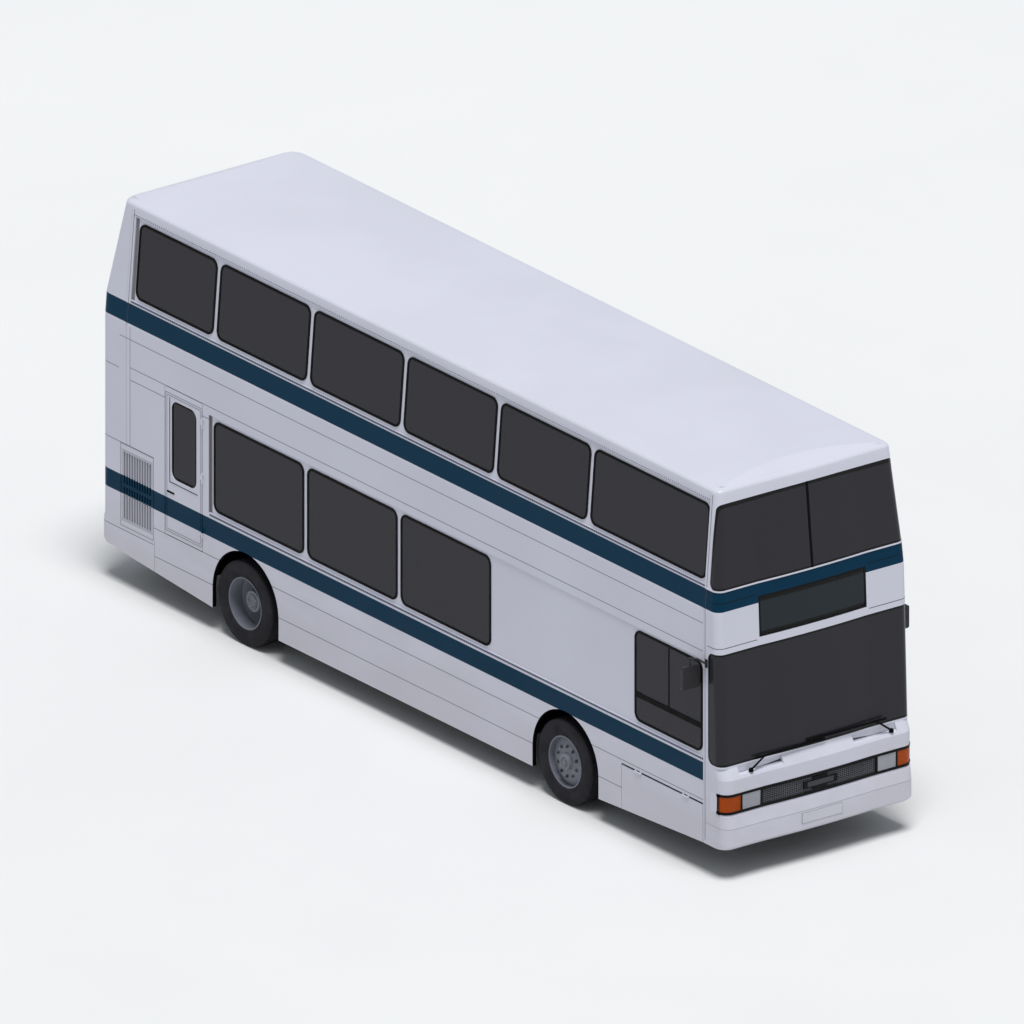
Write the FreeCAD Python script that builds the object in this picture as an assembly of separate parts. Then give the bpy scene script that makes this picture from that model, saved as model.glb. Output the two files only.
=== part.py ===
"""Double-decker service bus of the step-entrance, rear-engined kind, right-hand drive.

Millimetres. While it is modelled, x is the distance from the rearmost face towards the front, y is
positive towards the nearside (the kerb side, with the entrance) and z is the height above the road.
Every piece is moved to the middle of the vehicle's length when it is exported.
"""

import FreeCAD, Part
import math
import os

V = FreeCAD.Vector

# Overall sizes
body_length = 10940.0
body_width = 2500.0
roof_height = 4390.0
wheelbase = 5568.0
rear_overhang = 2512.0
half = body_width / 2
tumblehome = 0.079  # inward lean of the upper deck's walls, per unit of height

# Heights of the decks
roof_rise = 120.0
floor_z = 780.0
floor_thickness = 40.0
upper_floor_z = roof_height / 2 + 505
upper_floor_thickness = 60.0
ceiling_z = upper_floor_z - upper_floor_thickness
lean_start = upper_floor_z + 276  # height at which the walls begin to lean
cant_z = roof_height - roof_rise  # top of the side walls

# Wheels and axles
tyre_radius = 468.0
tyre_width = 255.0
tread_width = 216.0
shoulder_drop = 24.0
rim_radius = 286.0
rim_width = 220.0
tyre_inset = 15.0  # outer sidewall behind the body side
twin_spacing = 300.0
kingpin_inset = 290.0  # kingpin axis inboard of the body side
kingpin_radius = 22.0
steering_arm = 180.0
stub_radius = 35.0
rear_stub_radius = 60.0
hub_radius = 95.0
rear_hub_radius = 135.0

# Walls, floors and running gaps
wall = 50.0
shell = 40.0
fit = 0.3
bearing_clearance = 0.05
gap = 7.0
skirt_z = 262.0
skirt_tail_z = 422.0
skirt_nose_z = 357.0
skirt_tail_x = rear_overhang - 480  # the skirt rises behind this
skirt_nose_x = rear_overhang + wheelbase + 650  # and in front of this

# Stations along the body
rear_seam = 370.0
upper_rear_seam = 480.0
front_seam = body_length - 395
arch_radius = 575.0
arch_lead = 50.0  # arch centre in front of the wheel centre
arch_centre_z = 487.0
first_lower_window = 2000.0
first_upper_window = 600.0
first_upper_width = 1352.0
second_upper_window = 2008.0
last_upper_width = 2018.0
last_upper_window = front_seam - 15 - last_upper_width
bay = (last_upper_window - second_upper_window) / 4
window_width = bay - 57
window_corner = 100.0
window_border = 42.0
lower_sill, lower_head = floor_z + 575, ceiling_z - 257
upper_sill, upper_head = lean_start + 325, cant_z - 126
cab_window_rear, cab_window_front = front_seam - 1220, front_seam - 40
band_depth = 14.0
band_margin = 38.0
pane = 6.0

# Front
front_corner = 95.0
panel_corner = 130.0
front_bow = 20.0
bow_half = 700.0  # the bowed middle of the front; flat beyond
panel_top_z = 1255.0
screen_sill, screen_head = panel_top_z + 22, ceiling_z - 108
top_screen_sill, top_screen_head = upper_floor_z + 535, cant_z - 93
screen_edge = body_length - 330
screen_corner = 78.0
mullion = 26.0
sign_half, sign_height = 704.0, 454.0
sign_sill = upper_floor_z - 77
sign_head = sign_sill + sign_height
lamp_sill, lamp_head = 757.0, 974.0
lamp_edge = body_length - 300
grille_half = 757.0
headlamp_width = 260.0
pocket_offset, pocket_half = 747.0, 286.0
front_levels = [
    (lamp_sill - 22, body_length - 35),
    (panel_top_z - 119, body_length - 28),
    (panel_top_z, body_length - 90),
    (screen_head, body_length - 135),
    (lean_start, body_length - 155),
    (top_screen_sill, body_length - 168),
    (cant_z, body_length - 280),
]
roof_edge = [  # rise above the walls, then how far the edge is drawn in along and across
    (0.0, 0.0, 0.0),
    (22.0, 5.0, 4.0),
    (39.0, 20.0, 20.0),
    (50.0, 42.0, 56.0),
    (57.0, 70.0, 104.0),
]
crown_run = 170.0  # length over which the crown falls at each end
front_bumper_levels = [
    (355.0, body_length - 50),
    (398.0, body_length),
    (595.0, body_length),
    (lamp_sill - 22, body_length - 20),
]

mirror_foot_x, mirror_setback = body_length - 350, 130.0
mirror_foot_z = screen_head - 137

# Rear
rear_face = 20.0
rear_corner = 150.0
rear_lean_z = upper_floor_z + 524
rear_top_x = 255.0
bumper_top_z = 690.0
rear_levels = [
    (bumper_top_z, rear_face),
    (lean_start, rear_face),
    (rear_lean_z, rear_face),
    (cant_z, rear_top_x),
]
rear_bumper_levels = [(415.0, 30.0), (450.0, 0.0), (bumper_top_z, 0.0)]
rear_window_half = 900.0
rear_window_sill, rear_window_head = rear_lean_z + 106, cant_z - 210

# Doors and flaps
exit_rear, exit_front = 1160.0, 1812.0
exit_sill, exit_head = floor_z + 60, ceiling_z - 135
exit_window = (exit_rear + 115, exit_front - 104, exit_sill + 653, exit_head - 125)
exit_hinge_places = (exit_sill + 210, exit_head - 835, exit_head - 215)
cover_half, cover_sill, cover_head = 800.0, 740.0, 1620.0
flap_rear, flap_front, flap_head = front_seam - 1435, front_seam - 25, 779.0
louvre = (400.0, 950.0, 745.0, 1560.0)
louvre_slots = 11
door_front = front_seam - 145
door_rear = door_front - 1380
door_head = ceiling_z - 208
step_z, second_step_z = 380.0, 580.0
step_edge, second_step_edge = half - 690, half - 950
step_plate = 40.0
sill_edge = half - 100
bulkhead_x = 1080.0
shelf_z = 1680.0
door_plane = 30.0  # middle of the leaves behind the body side
post_radius = 20.0
post_inset = 32.0
post_to_leaf = 8.0
arm_thickness = 12.0
arm_gap = 6.0
arm_half = 22.0
arm_pin = 8.0
leaf_thickness = 30.0
leaf_frame = 60.0

# Hinges of the door, cover and flap
hinge_stand_off = 9.0
hinge_radius = 8.0
hinge_pin = 4.0
hinge_plate = 45.0
hinge_plate_thickness = 4.0
knuckle_length = 58.0
knuckle_gap = 1.0

# Underneath
rail_inner, rail_outer = 350.0, 430.0
rail_bottom = 600.0
front_rail_bottom, front_rail_top = 400.0, 540.0
rail_crank_x = door_rear - 70
nose_beam_x = body_length - 140
bearer_depth = 70.0
beam_pitch = 900.0
housing_half, housing_inner, housing_top = 630.0, half - 610, 1130.0
housing_sheet = 12.0
beam_top, beam_bottom = 440.0, 360.0
spring_radius = 90.0

# Seats
seat_pitch = 760.0
seat_width = 860.0
seat_length = 435.0
lower_first_row, upper_first_row = 3300.0, 700.0
stair_foot_x = door_rear - 10
stair_going = 230.0
stair_treads = 7
stair_side_y = half - 720

inside = half - wall
rear_axle_x = rear_overhang
front_axle_x = rear_overhang + wheelbase
kingpin_y = half - kingpin_inset
tyre_y = half - tyre_inset - tyre_width / 2
post_y = half - door_plane
rear_post_x = door_rear + post_inset
front_post_x = door_front - post_inset
arm_length = (door_front - door_rear - gap) / 4 - post_inset / 2
floor_under = floor_z - floor_thickness
bearer_z = floor_under - bearer_depth
stair_rise = (upper_floor_z - floor_z) / (stair_treads + 1)
stair_head_x = stair_foot_x - stair_going * stair_treads
well_front_x = rail_crank_x - 160
rear_housing, front_housing = [
    (x + arch_lead - housing_half, x + arch_lead + housing_half) for x in (rear_axle_x, front_axle_x)
]
lower_rows = int((front_housing[0] - seat_length - lower_first_row) / seat_pitch) + 1
upper_rows = int((front_seam - 200 - seat_length - upper_first_row) / seat_pitch) + 1
beams = int((front_housing[0] - 850 - rear_housing[1] - 408) / beam_pitch) + 1
cross_beams = [1500.0] + [rear_housing[1] + 408 + beam_pitch * i for i in range(beams)] + [front_housing[0] - 400]
bearer_count = int((front_housing[0] - 420 - rear_housing[1] - 108) / beam_pitch) + 1
bearers = [1150.0, rear_housing[0] - 152]
bearers += [rear_housing[1] + 108 + beam_pitch * i for i in range(bearer_count)]
bearers += [front_housing[0] - 120, front_housing[1] + 100]
exit_hinge_x = exit_front + gap / 2
cover_hinge_z = cover_head + gap / 2
flap_hinge_z = flap_head + gap / 2
hinge_out = half + hinge_stand_off


def box(x0, x1, y0, y1, z0, z1):
    """Block between two corners."""
    return Part.makeBox(x1 - x0, y1 - y0, z1 - z0, V(x0, y0, z0))


def rod(start, end, radius):
    """Round bar between two points."""
    along = end - start
    return Part.makeCylinder(radius, along.Length, start, along)


def polygon_face(points):
    """Flat face through points in order."""
    return Part.Face(Part.makePolygon(points + points[:1]))


def plate_y(outline, y0, y1):
    """Outline of (x, z) points made solid from y0 to y1."""
    return polygon_face([V(x, y0, z) for x, z in outline]).extrude(V(0, y1 - y0, 0))


def bar_x(outline, x0, x1):
    """Outline of (y, z) points made solid from x0 to x1."""
    return polygon_face([V(x0, y, z) for y, z in outline]).extrude(V(x1 - x0, 0, 0))


def rounded(block, radius, along):
    """Block with the edges that run along one axis rounded."""
    edges = [e for e in block.Edges if abs((e.Vertexes[0].Point - e.Vertexes[-1].Point).dot(along)) > 1]
    return block.makeFillet(radius, edges)


def rounded_y(x0, x1, z0, z1, radius, y0, y1):
    """Block along y whose corners are rounded in side view."""
    return rounded(box(x0, x1, y0, y1, z0, z1), radius, V(0, 1, 0))


def turned(profile, x, z):
    """Profile of (radius, y) points turned about the line along y through x, z."""
    face = polygon_face([V(x + r, y, z) for r, y in profile])
    return face.revolve(V(x, 0, z), V(0, 1, 0), 360)


def fused(pieces):
    """One solid from pieces that meet."""
    whole = pieces[0]
    if len(pieces) > 1:
        whole = pieces[0].multiFuse(pieces[1:])
    return whole.removeSplitter()


def other_side(shape):
    """The same piece on the other side of the centre line."""
    return shape.mirror(V(0, 0, 0), V(0, 1, 0))


def pair(shape):
    """A piece and its twin across the centre line."""
    return [shape, other_side(shape)]


def export(name, pieces):
    """Writes one node, moved to the middle of the vehicle's length."""
    moved = [s.translated(V(-body_length / 2, 0, 0)) for s in pieces]
    whole = Part.makeCompound([x for s in moved for x in s.Solids])
    whole.exportStep("parts/" + name + ".step")


def half_width(z):
    """Half the body's width at a height."""
    return half - tumblehome * max(0.0, z - lean_start)


def skin(x0, x1, z0, z1, depth0, depth1):
    """Part of the nearside wall between two depths behind its outer face."""
    w0, w1 = half_width(z0), half_width(z1)
    return bar_x([(w0 - depth0, z0), (w1 - depth0, z1), (w1 - depth1, z1), (w0 - depth1, z0)], x0, x1)


# Ends of the body


def plan_outline(z, x_rear, x_front, width, rear_radius, front_radius, bow):
    """Edges of a plan outline; an end with no radius is cut off square, and the front may be bowed."""
    face = x_front - bow
    corner_rear, corner_front = x_rear + rear_radius, face - front_radius
    lean = 1 - math.sqrt(0.5)

    def line(xa, ya, xb, yb):
        return Part.makeLine(V(xa, ya, z), V(xb, yb, z))

    def corner(xa, ya, xm, ym, xb, yb):
        return Part.Arc(V(xa, ya, z), V(xm, ym, z), V(xb, yb, z)).toShape()

    edges = [line(corner_rear, -width, corner_front, -width)]
    if front_radius:
        bend, y = lean * front_radius, width - front_radius
        edges.append(corner(corner_front, -width, face - bend, bend - width, face, -y))
        edges.append(line(face, -y, face, -bow_half))
        if bow:
            edges.append(corner(face, -bow_half, x_front, 0, face, bow_half))
        else:
            edges.append(line(face, -bow_half, face, bow_half))
        edges.append(line(face, bow_half, face, y))
        edges.append(corner(face, y, face - bend, width - bend, corner_front, width))
    else:
        edges.append(line(face, -width, face, width))
    edges.append(line(corner_front, width, corner_rear, width))
    if rear_radius:
        bend, y = lean * rear_radius, width - rear_radius
        edges.append(corner(corner_rear, width, x_rear + bend, width - bend, x_rear, y))
        edges.append(line(x_rear, y, x_rear, -y))
        edges.append(corner(x_rear, -y, x_rear + bend, bend - width, corner_rear, -width))
    else:
        edges.append(line(x_rear, width, x_rear, -width))
    return edges


def band_solid(low, high):
    """Solid between two outlines whose lines are parallel and whose arcs are alike."""
    faces = [Part.Face(Part.Wire(low)), Part.Face(Part.Wire(high))]
    for a, b in zip(low, high):
        start, end = a.Vertexes[0].Point, a.Vertexes[-1].Point
        if a.Curve.TypeId == "Part::GeomLine":
            faces.append(polygon_face([start, end, b.Vertexes[-1].Point, b.Vertexes[0].Point]))
        else:
            faces.append(a.extrude(b.Vertexes[0].Point - start))
    closed = Part.makeShell(faces)
    closed.sewShape()
    band = Part.makeSolid(closed)
    if band.Volume < 0:
        band.reverse()
    return band


def stacked(outlines):
    """One solid through outlines from bottom to top."""
    whole = band_solid(outlines[0], outlines[1])
    for low, high in zip(outlines[1:], outlines[2:]):
        whole = whole.fuse(band_solid(low, high))
    return whole


def front_end(levels, radius, inset, back):
    """Solid front end through (height, front x) levels, from a plane behind, drawn in by an inset."""
    return stacked([
        plan_outline(z, back, x - inset, half_width(z) - inset, 0.0, max(radius - inset, 10.0), front_bow)
        for z, x in levels
    ])


def rear_end(levels, radius, inset, back):
    """Solid rear end through (height, rear x) levels, up to a plane in front of it."""
    return stacked([
        plan_outline(z, x + inset, back, half_width(z) - inset, radius - inset, 0.0, 0.0)
        for z, x in levels
    ])


def between(levels, z0, z1):
    """The levels from z0 to z1, with the ends worked out on the straight runs."""
    def at(z):
        for (za, xa), (zb, xb) in zip(levels, levels[1:]):
            if za <= z <= zb:
                return xa + (xb - xa) * (z - za) / (zb - za)
        return levels[-1][1]
    inner = [(z, x) for z, x in levels if z0 < z < z1]
    return [(z0, at(z0))] + inner + [(z1, at(z1))]


def front_wall(levels, radius, thickness, inset):
    """Wall of one thickness round the front, up to the seam with the sides."""
    back = front_seam - 150
    wall_piece = front_end(levels, radius, inset, back).cut(front_end(levels, radius, inset + thickness, back))
    return wall_piece.common(box(front_seam, body_length + 100, -half, half, 0, roof_height))


def front_shell(z0, z1, thickness, inset=0.0):
    """Wall of the front between two heights, rounder at the corners below the windscreen."""
    radius = front_corner if z1 > panel_top_z else panel_corner
    return front_wall(between(front_levels, z0, z1), radius, thickness, inset)


def rear_shell(z0, z1, thickness, inset=0.0):
    """Wall of the rear between two heights, on one deck."""
    seam = rear_seam if z1 <= lean_start else upper_rear_seam
    levels = between(rear_levels, z0, z1)
    return rear_end(levels, rear_corner, inset, seam).cut(rear_end(levels, rear_corner, inset + thickness, seam))


def screen_shape(sill, head):
    """Side-view shape of a wrap-round windscreen, right across the body."""
    return rounded_y(screen_edge, body_length + 400, sill, head, screen_corner, -half - 50, half + 50)


def across(y0, y1, z0, z1):
    """Block through the front wall, for cutting out or keeping a part of it."""
    return box(front_seam, body_length + 400, y0, y1, z0, z1)


def top_screen_shape():
    """Shape of both upper windscreen panes, with the bar between them left out."""
    screen = screen_shape(top_screen_sill, top_screen_head)
    return screen.cut(across(-mullion / 2, mullion / 2, top_screen_sill - 10, top_screen_head + 10))


def front_panel():
    """Moulded panel below the windscreen, open for the lamps and grille, with two wiper pockets."""
    panel = front_shell(front_levels[0][0], panel_top_z, shell)
    panel = panel.cut(box(lamp_edge, body_length + 100, -half - 10, half + 10, lamp_sill, lamp_head))
    for side in (-1, 1):
        y0, y1 = side * pocket_offset - pocket_half, side * pocket_offset + pocket_half
        x0, x1, x2 = body_length - 240, body_length - 114, body_length + 20
        z0, z1, z2 = panel_top_z - 105, panel_top_z - 75, panel_top_z + 45
        scoop = [(x1, z2), (x1, z1), (x2, z0), (x2, z2)]
        panel = panel.cut(plate_y(scoop, y0, y1))
        lining = [(x0, z1), (x1, z1), (x1 + 14, z1 - 3), (x1 + 14, z0), (x0, z0)]
        back = box(x0, x0 + 10, y0, y1, z0, panel_top_z)
        panel = panel.fuse(plate_y(lining, y0, y1)).fuse(back)
    return panel.removeSplitter()


def front_surround():
    """Front wall from the windscreen up, open for both screens and the destination box."""
    frame = front_shell(panel_top_z, cant_z, shell)
    frame = frame.cut(screen_shape(screen_sill, screen_head)).cut(top_screen_shape())
    return frame.cut(across(-sign_half, sign_half, sign_sill, sign_head))


def front_glass():
    """Windscreen, the two upper panes and the pane of the destination box."""
    lower = front_shell(screen_sill - 10, screen_head + 10, 8.0, 2.0).common(screen_shape(screen_sill, screen_head))
    upper = front_shell(top_screen_sill - 10, top_screen_head + 10, 8.0, 2.0).common(top_screen_shape())
    sign = front_shell(sign_sill - 10, sign_head + 10, 6.0, 4.0)
    sign = sign.common(across(-sign_half + 24, sign_half - 24, sign_sill + 24, sign_head - 24))
    return [lower, upper, sign]


def destination_box():
    """Blank destination display: a deep frame round its pane with a back plate."""
    whole = front_shell(sign_sill, sign_head, 120.0).common(across(-sign_half, sign_half, sign_sill, sign_head))
    hollow = front_shell(sign_sill - 1, sign_head + 1, 100.0, -5.0)
    return whole.cut(hollow.common(across(-sign_half + 24, sign_half - 24, sign_sill + 24, sign_head - 24)))


def lamp_band(y0, y1, thickness, inset):
    """Part of the band between panel and bumper where the lamps and the grille sit."""
    band = front_shell(lamp_sill, lamp_head, thickness, inset)
    return band.common(box(lamp_edge, body_length + 100, y0, y1, lamp_sill, lamp_head))


def front_grille():
    """Black grille with a plain badge plate in its middle, open between its bars."""
    ring = lamp_band(-grille_half, grille_half, shell, 0.0)
    rim = 16.0
    ring = ring.cut(across(-grille_half + rim, grille_half - rim, lamp_sill + rim, lamp_head - rim))
    pieces = [ring]
    bars = 6
    pitch = (lamp_head - lamp_sill - 2 * rim) / (bars + 1)
    for i in range(bars):
        z = lamp_sill + rim + pitch * (i + 1)
        bar = front_shell(z - 3, z + 3, 12.0, 12.0)
        pieces.append(bar.common(across(-grille_half + 4, grille_half - 4, z - 3, z + 3)))
    ribs = 7
    for i in range(ribs):
        y = (i - (ribs - 1) / 2) * 2 * grille_half / (ribs + 1)
        rib = front_shell(lamp_sill, lamp_head, 12.0, 18.0)
        pieces.append(rib.common(across(y - 3, y + 3, lamp_sill, lamp_head)))
    badge = front_shell(lamp_sill + 40, lamp_head - 40, 20.0, 2.0)
    pieces.append(badge.common(across(-95, 95, lamp_sill + 40, lamp_head - 40)))
    return fused(pieces)


def front_bumper():
    """Front bumper with a tucked-under lower edge, wrapping both corners."""
    return front_wall(front_bumper_levels, panel_corner, shell, 0.0)


def rear_bumper():
    """Rear bumper, the rearmost piece."""
    outer = rear_end(rear_bumper_levels, rear_corner, 0.0, rear_seam)
    return outer.cut(rear_end(rear_bumper_levels, rear_corner, shell, rear_seam))


def across_rear(y0, y1, z0, z1):
    """Block through the rear wall."""
    return box(-50, upper_rear_seam, y0, y1, z0, z1)


def rear_window_shape():
    """Shape of the upper rear window, along the bus."""
    block = box(-50, upper_rear_seam, -rear_window_half, rear_window_half, rear_window_sill, rear_window_head)
    return rounded(block, window_corner, V(1, 0, 0))


def rear_lower_panel():
    """Lower rear wall, open for the engine cover."""
    panel = rear_shell(bumper_top_z, lean_start, shell)
    opening = across_rear(-cover_half - gap, cover_half + gap, cover_sill - gap, cover_head + gap)
    fixed = hinge_at(V(rear_face - hinge_stand_off, 0, cover_hinge_z), "rear", (-500.0, 500.0))[0]
    return fused([panel.cut(opening)] + fixed)


def rear_upper_panel():
    """Upper rear wall with the rear window opening."""
    return rear_shell(lean_start, cant_z, shell).cut(rear_window_shape())


def engine_cover():
    """Engine cover, hinged along its top edge."""
    cover = rear_shell(cover_sill, cover_head, shell)
    cover = cover.common(across_rear(-cover_half, cover_half, cover_sill, cover_head))
    moving = hinge_at(V(rear_face - hinge_stand_off, 0, cover_hinge_z), "rear", (-500.0, 500.0))[1]
    return fused([cover] + moving)


# Hinges


def hinge_parts():
    """Fixed and moving halves of one hinge: pin along z, skin below y = 0, fixed side on +x."""
    ends = knuckle_length / 2 + knuckle_gap
    length = knuckle_length / 2
    fixed = [rod(V(0, 0, -ends - length), V(0, 0, ends + length), hinge_pin)]
    for z in (-ends - length, ends):
        fixed.append(rod(V(0, 0, z), V(0, 0, z + length), hinge_radius))
        fixed.append(box(0, hinge_plate, -hinge_stand_off, hinge_plate_thickness - hinge_stand_off, z, z + length))
    barrel = rod(V(0, 0, -length), V(0, 0, length), hinge_radius)
    leaf = box(-hinge_plate, 0, -hinge_stand_off, hinge_plate_thickness - hinge_stand_off, -length, length)
    bore = rod(V(0, 0, -length - 1), V(0, 0, length + 1), hinge_pin + bearing_clearance)
    return fused(fixed), barrel.fuse(leaf).cut(bore)


def hinge_at(point, face, places):
    """Hinge halves set on a face at several places along its pin line: two lists."""
    turns = {
        "offside": [(V(1, 0, 0), 180.0)],
        "flap": [(V(0, 0, 1), 180.0), (V(0, 1, 0), 90.0)],
        "rear": [(V(1, 0, 0), 90.0), (V(0, 1, 0), -90.0)],
    }
    along = {"offside": V(0, 0, 1), "flap": V(1, 0, 0), "rear": V(0, 1, 0)}[face]
    halves = []
    for half_hinge in hinge_parts():
        shape = half_hinge.copy()
        for axis, angle in turns[face]:
            shape.rotate(V(0, 0, 0), axis, angle)
        halves.append([shape.translated(point + along * place) for place in places])
    return halves


# Sides


def skirt_outline():
    """Outline of a lower side, from the skirt to the joint with the upper side."""
    slope = (skirt_tail_z - skirt_z) / skirt_tail_x
    rear_z = skirt_z + slope * (skirt_tail_x - rear_seam)
    return [
        (rear_seam, rear_z),
        (skirt_tail_x, skirt_z),
        (skirt_nose_x, skirt_z),
        (front_seam, skirt_nose_z),
        (front_seam, lean_start),
        (rear_seam, lean_start),
    ]


def window_block(x0, x1, z0, z1, shrink):
    """Rounded window outline through the nearside wall, drawn in by a margin."""
    radius = window_corner - shrink
    return rounded_y(x0 + shrink, x1 - shrink, z0 + shrink, z1 - shrink, radius, inside - 200, half + 100)


def lower_windows(count):
    """Outlines of the lower side windows from the rear."""
    starts = [first_lower_window + bay * i for i in range(count)]
    return [(x, x + window_width, lower_sill, lower_head) for x in starts]


def upper_windows():
    """Outlines of the upper side windows from the rear."""
    first = (first_upper_window, first_upper_window + first_upper_width)
    middle = [second_upper_window + bay * i for i in range(4)]
    last = (last_upper_window, last_upper_window + last_upper_width)
    spans = [first] + [(x, x + window_width) for x in middle] + [last]
    return [(x0, x1, upper_sill, upper_head) for x0, x1 in spans]


cab_window = (cab_window_rear, cab_window_front, lower_sill, lower_head)


def panes(windows):
    """Window panes that lie on the floor of the recessed band of the nearside."""
    result = []
    for x0, x1, z0, z1 in windows:
        slab = skin(x0, x1, z0, z1, band_depth - pane, band_depth)
        result.append(slab.common(window_block(x0, x1, z0, z1, 0.0)))
    return result


def lower_side(windows, band_end):
    """Nearside lower wall with the recessed window band, window openings and wheel arches."""
    side = plate_y(skirt_outline(), inside, half)
    side = side.cut(skin(first_lower_window - 65, band_end, lower_sill - band_margin,
                         lower_head + band_margin, -1, band_depth))
    for x0, x1, z0, z1 in windows:
        side = side.cut(window_block(x0, x1, z0, z1, window_border))
    for x in (rear_axle_x, front_axle_x):
        centre = V(x + arch_lead, inside - 1, arch_centre_z)
        arch = rod(centre, centre + V(0, wall + 2, 0), arch_radius)
        foot = box(centre.x - arch_radius, centre.x + arch_radius, inside - 1, half + 1, 0, arch_centre_z)
        side = side.cut(arch).cut(foot)
    return side


def upper_side():
    """Nearside upper wall with the recessed band and window openings."""
    side = skin(upper_rear_seam, front_seam, lean_start, cant_z, 0.0, wall)
    side = side.cut(skin(first_upper_window - 65, front_seam + 1, upper_sill - band_margin,
                         upper_head + band_margin, -1, band_depth))
    for x0, x1, z0, z1 in upper_windows():
        side = side.cut(window_block(x0, x1, z0, z1, window_border))
    return side


def nearside_lower_side():
    """Nearside lower wall, which ends at the entrance."""
    side = lower_side(lower_windows(4), door_rear - 60)
    return side.common(box(rear_seam, door_rear, inside, half, 0, lean_start))


def entrance_frame():
    """Header over the entrance, the pillar in front of it and the posts' upper bearings."""
    pillar = plate_y(skirt_outline(), inside, half).common(box(door_front, front_seam, inside, half, 0, door_head - fit))
    pieces = [box(door_rear, front_seam, inside, half, door_head, lean_start), pillar]
    for x in (rear_post_x, front_post_x):
        bearing = box(x - 28, x + 28, post_y - 30, half, door_head - 30, door_head - fit)
        bore = rod(V(x, post_y, door_head - 31), V(x, post_y, door_head), post_radius + bearing_clearance)
        pieces.append(bearing.cut(bore))
    return pieces


def exit_block(grow):
    """Outline of the emergency door, as on the other side, larger by a margin."""
    return box(exit_rear - grow, exit_front + grow, inside - 1, half + 1, exit_sill - grow, exit_head + grow)


def offside_lower_side():
    """Offside lower wall, open for the emergency door, the louvre, the cab window and the locker."""
    side = lower_side(lower_windows(3) + [cab_window], front_seam + 1)
    side = side.cut(exit_block(gap))
    x0, x1, z0, z1 = louvre
    side = side.cut(box(x0, x1, inside - 1, half + 1, z0, z1))
    side = side.cut(box(flap_rear - gap, flap_front + gap, inside - 1, half + 1, 0, flap_head + gap))
    door_hinge = hinge_at(V(exit_hinge_x, -hinge_out, 0), "offside", exit_hinge_places)[0]
    flap_hinge = hinge_at(V(0, -hinge_out, flap_hinge_z), "flap", (flap_rear + 290, flap_front - 290))[0]
    return fused([other_side(side)] + door_hinge + flap_hinge)


def emergency_door():
    """Emergency door of the offside, hinged at its forward edge."""
    door = box(exit_rear, exit_front, inside, half, exit_sill, exit_head)
    x0, x1, z0, z1 = exit_window
    door = door.cut(window_block(x0, x1, z0, z1, window_border))
    door = door.cut(window_block(x0, x1, z0, z1, 0.0).common(box(x0, x1, half - band_depth, half + 9, z0, z1)))
    moving = hinge_at(V(exit_hinge_x, -hinge_out, 0), "offside", exit_hinge_places)[1]
    return fused([other_side(door)] + moving)


def locker_flap():
    """Skirt flap below the cab, hinged along its top edge."""
    outline = [(x, z) for x, z in skirt_outline()[:4]] + [(front_seam, flap_head), (rear_seam, flap_head)]
    flap = plate_y(outline, inside, half).common(box(flap_rear, flap_front, inside, half, 0, flap_head))
    moving = hinge_at(V(0, -hinge_out, flap_hinge_z), "flap", (flap_rear + 290, flap_front - 290))[1]
    return fused([other_side(flap)] + moving)


def side_louvre():
    """Air outlet in the rear offside quarter: a frame with upright slots above and below a bar."""
    x0, x1, z0, z1 = louvre
    frame = box(x0, x1, half - 26, half - 2, z0, z1)
    pitch = (x1 - x0 - 60) / louvre_slots
    middle = (z0 + z1) / 2
    for i in range(louvre_slots):
        x = x0 + 30 + pitch * (i + 0.5)
        for low, high in ((z0 + 30, middle - 18), (middle + 18, z1 - 30)):
            frame = frame.cut(box(x - pitch * 0.3, x + pitch * 0.3, half - 30, half, low, high))
    return other_side(frame)


# Roof


def roof_block(inset):
    """Crowned block with a rolled edge all round, drawn in by an inset."""
    top, along, aside = roof_edge[-1]
    x0, x1 = rear_top_x + inset, front_levels[-1][1] - inset
    width = half_width(cant_z) - inset
    outlines = [
        plan_outline(cant_z + rise * (top - inset) / top, x0 + run, x1 - run, width - side,
                     rear_corner - inset, front_corner - inset, front_bow)
        for rise, run, side in roof_edge
    ]
    z, crown = cant_z + top - inset, roof_height - cant_z - top
    x0, x1, y = x0 + along, x1 - along - front_bow, width - aside
    arch = Part.Arc(V(x0, -y, z), V(x0, 0, z + crown), V(x0, y, z)).toShape()
    section = Part.Face(Part.Wire([arch, Part.makeLine(V(x0, y, z), V(x0, -y, z))]))
    fall = plate_y([(x0, z), (x0 + crown_run, z + crown), (x1 - crown_run, z + crown), (x1, z)], -y, y)
    return stacked(outlines).fuse(section.extrude(V(x1 - x0, 0, 0)).common(fall))


def roof():
    """Roof panel, crowned and hollow underneath."""
    return roof_block(0.0).cut(roof_block(shell))


# Floors and what stands on them


def lower_floor():
    """Floor plates between the wheel housings and beside the entrance, and the engine's bulkhead and shelf."""
    plates = [
        (bulkhead_x, rear_housing[0], -inside, inside),
        (*rear_housing, -housing_inner, housing_inner),
        (rear_housing[1], front_housing[0], -inside, inside),
        (*front_housing, -housing_inner, housing_inner),
        (front_housing[1], door_rear, -inside, inside),
        (door_rear, door_front, -inside, second_step_edge),
        (door_front, front_seam - 20, -inside, inside),
        (front_seam - 20, nose_beam_x, -1000, 1000),
    ]
    pieces = [box(x0 + fit, x1, y0, y1, floor_under, floor_z) for x0, x1, y0, y1 in plates]
    pieces.append(box(bulkhead_x - 20, bulkhead_x, -inside, inside, floor_under, shelf_z - 40 - fit))
    pieces.append(box(rear_seam, bulkhead_x, -inside, inside, shelf_z - 40, shelf_z))
    pieces.append(box(rear_face + shell, rear_seam - fit, -1100, 1100, shelf_z - 40, shelf_z))
    return pieces


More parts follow.
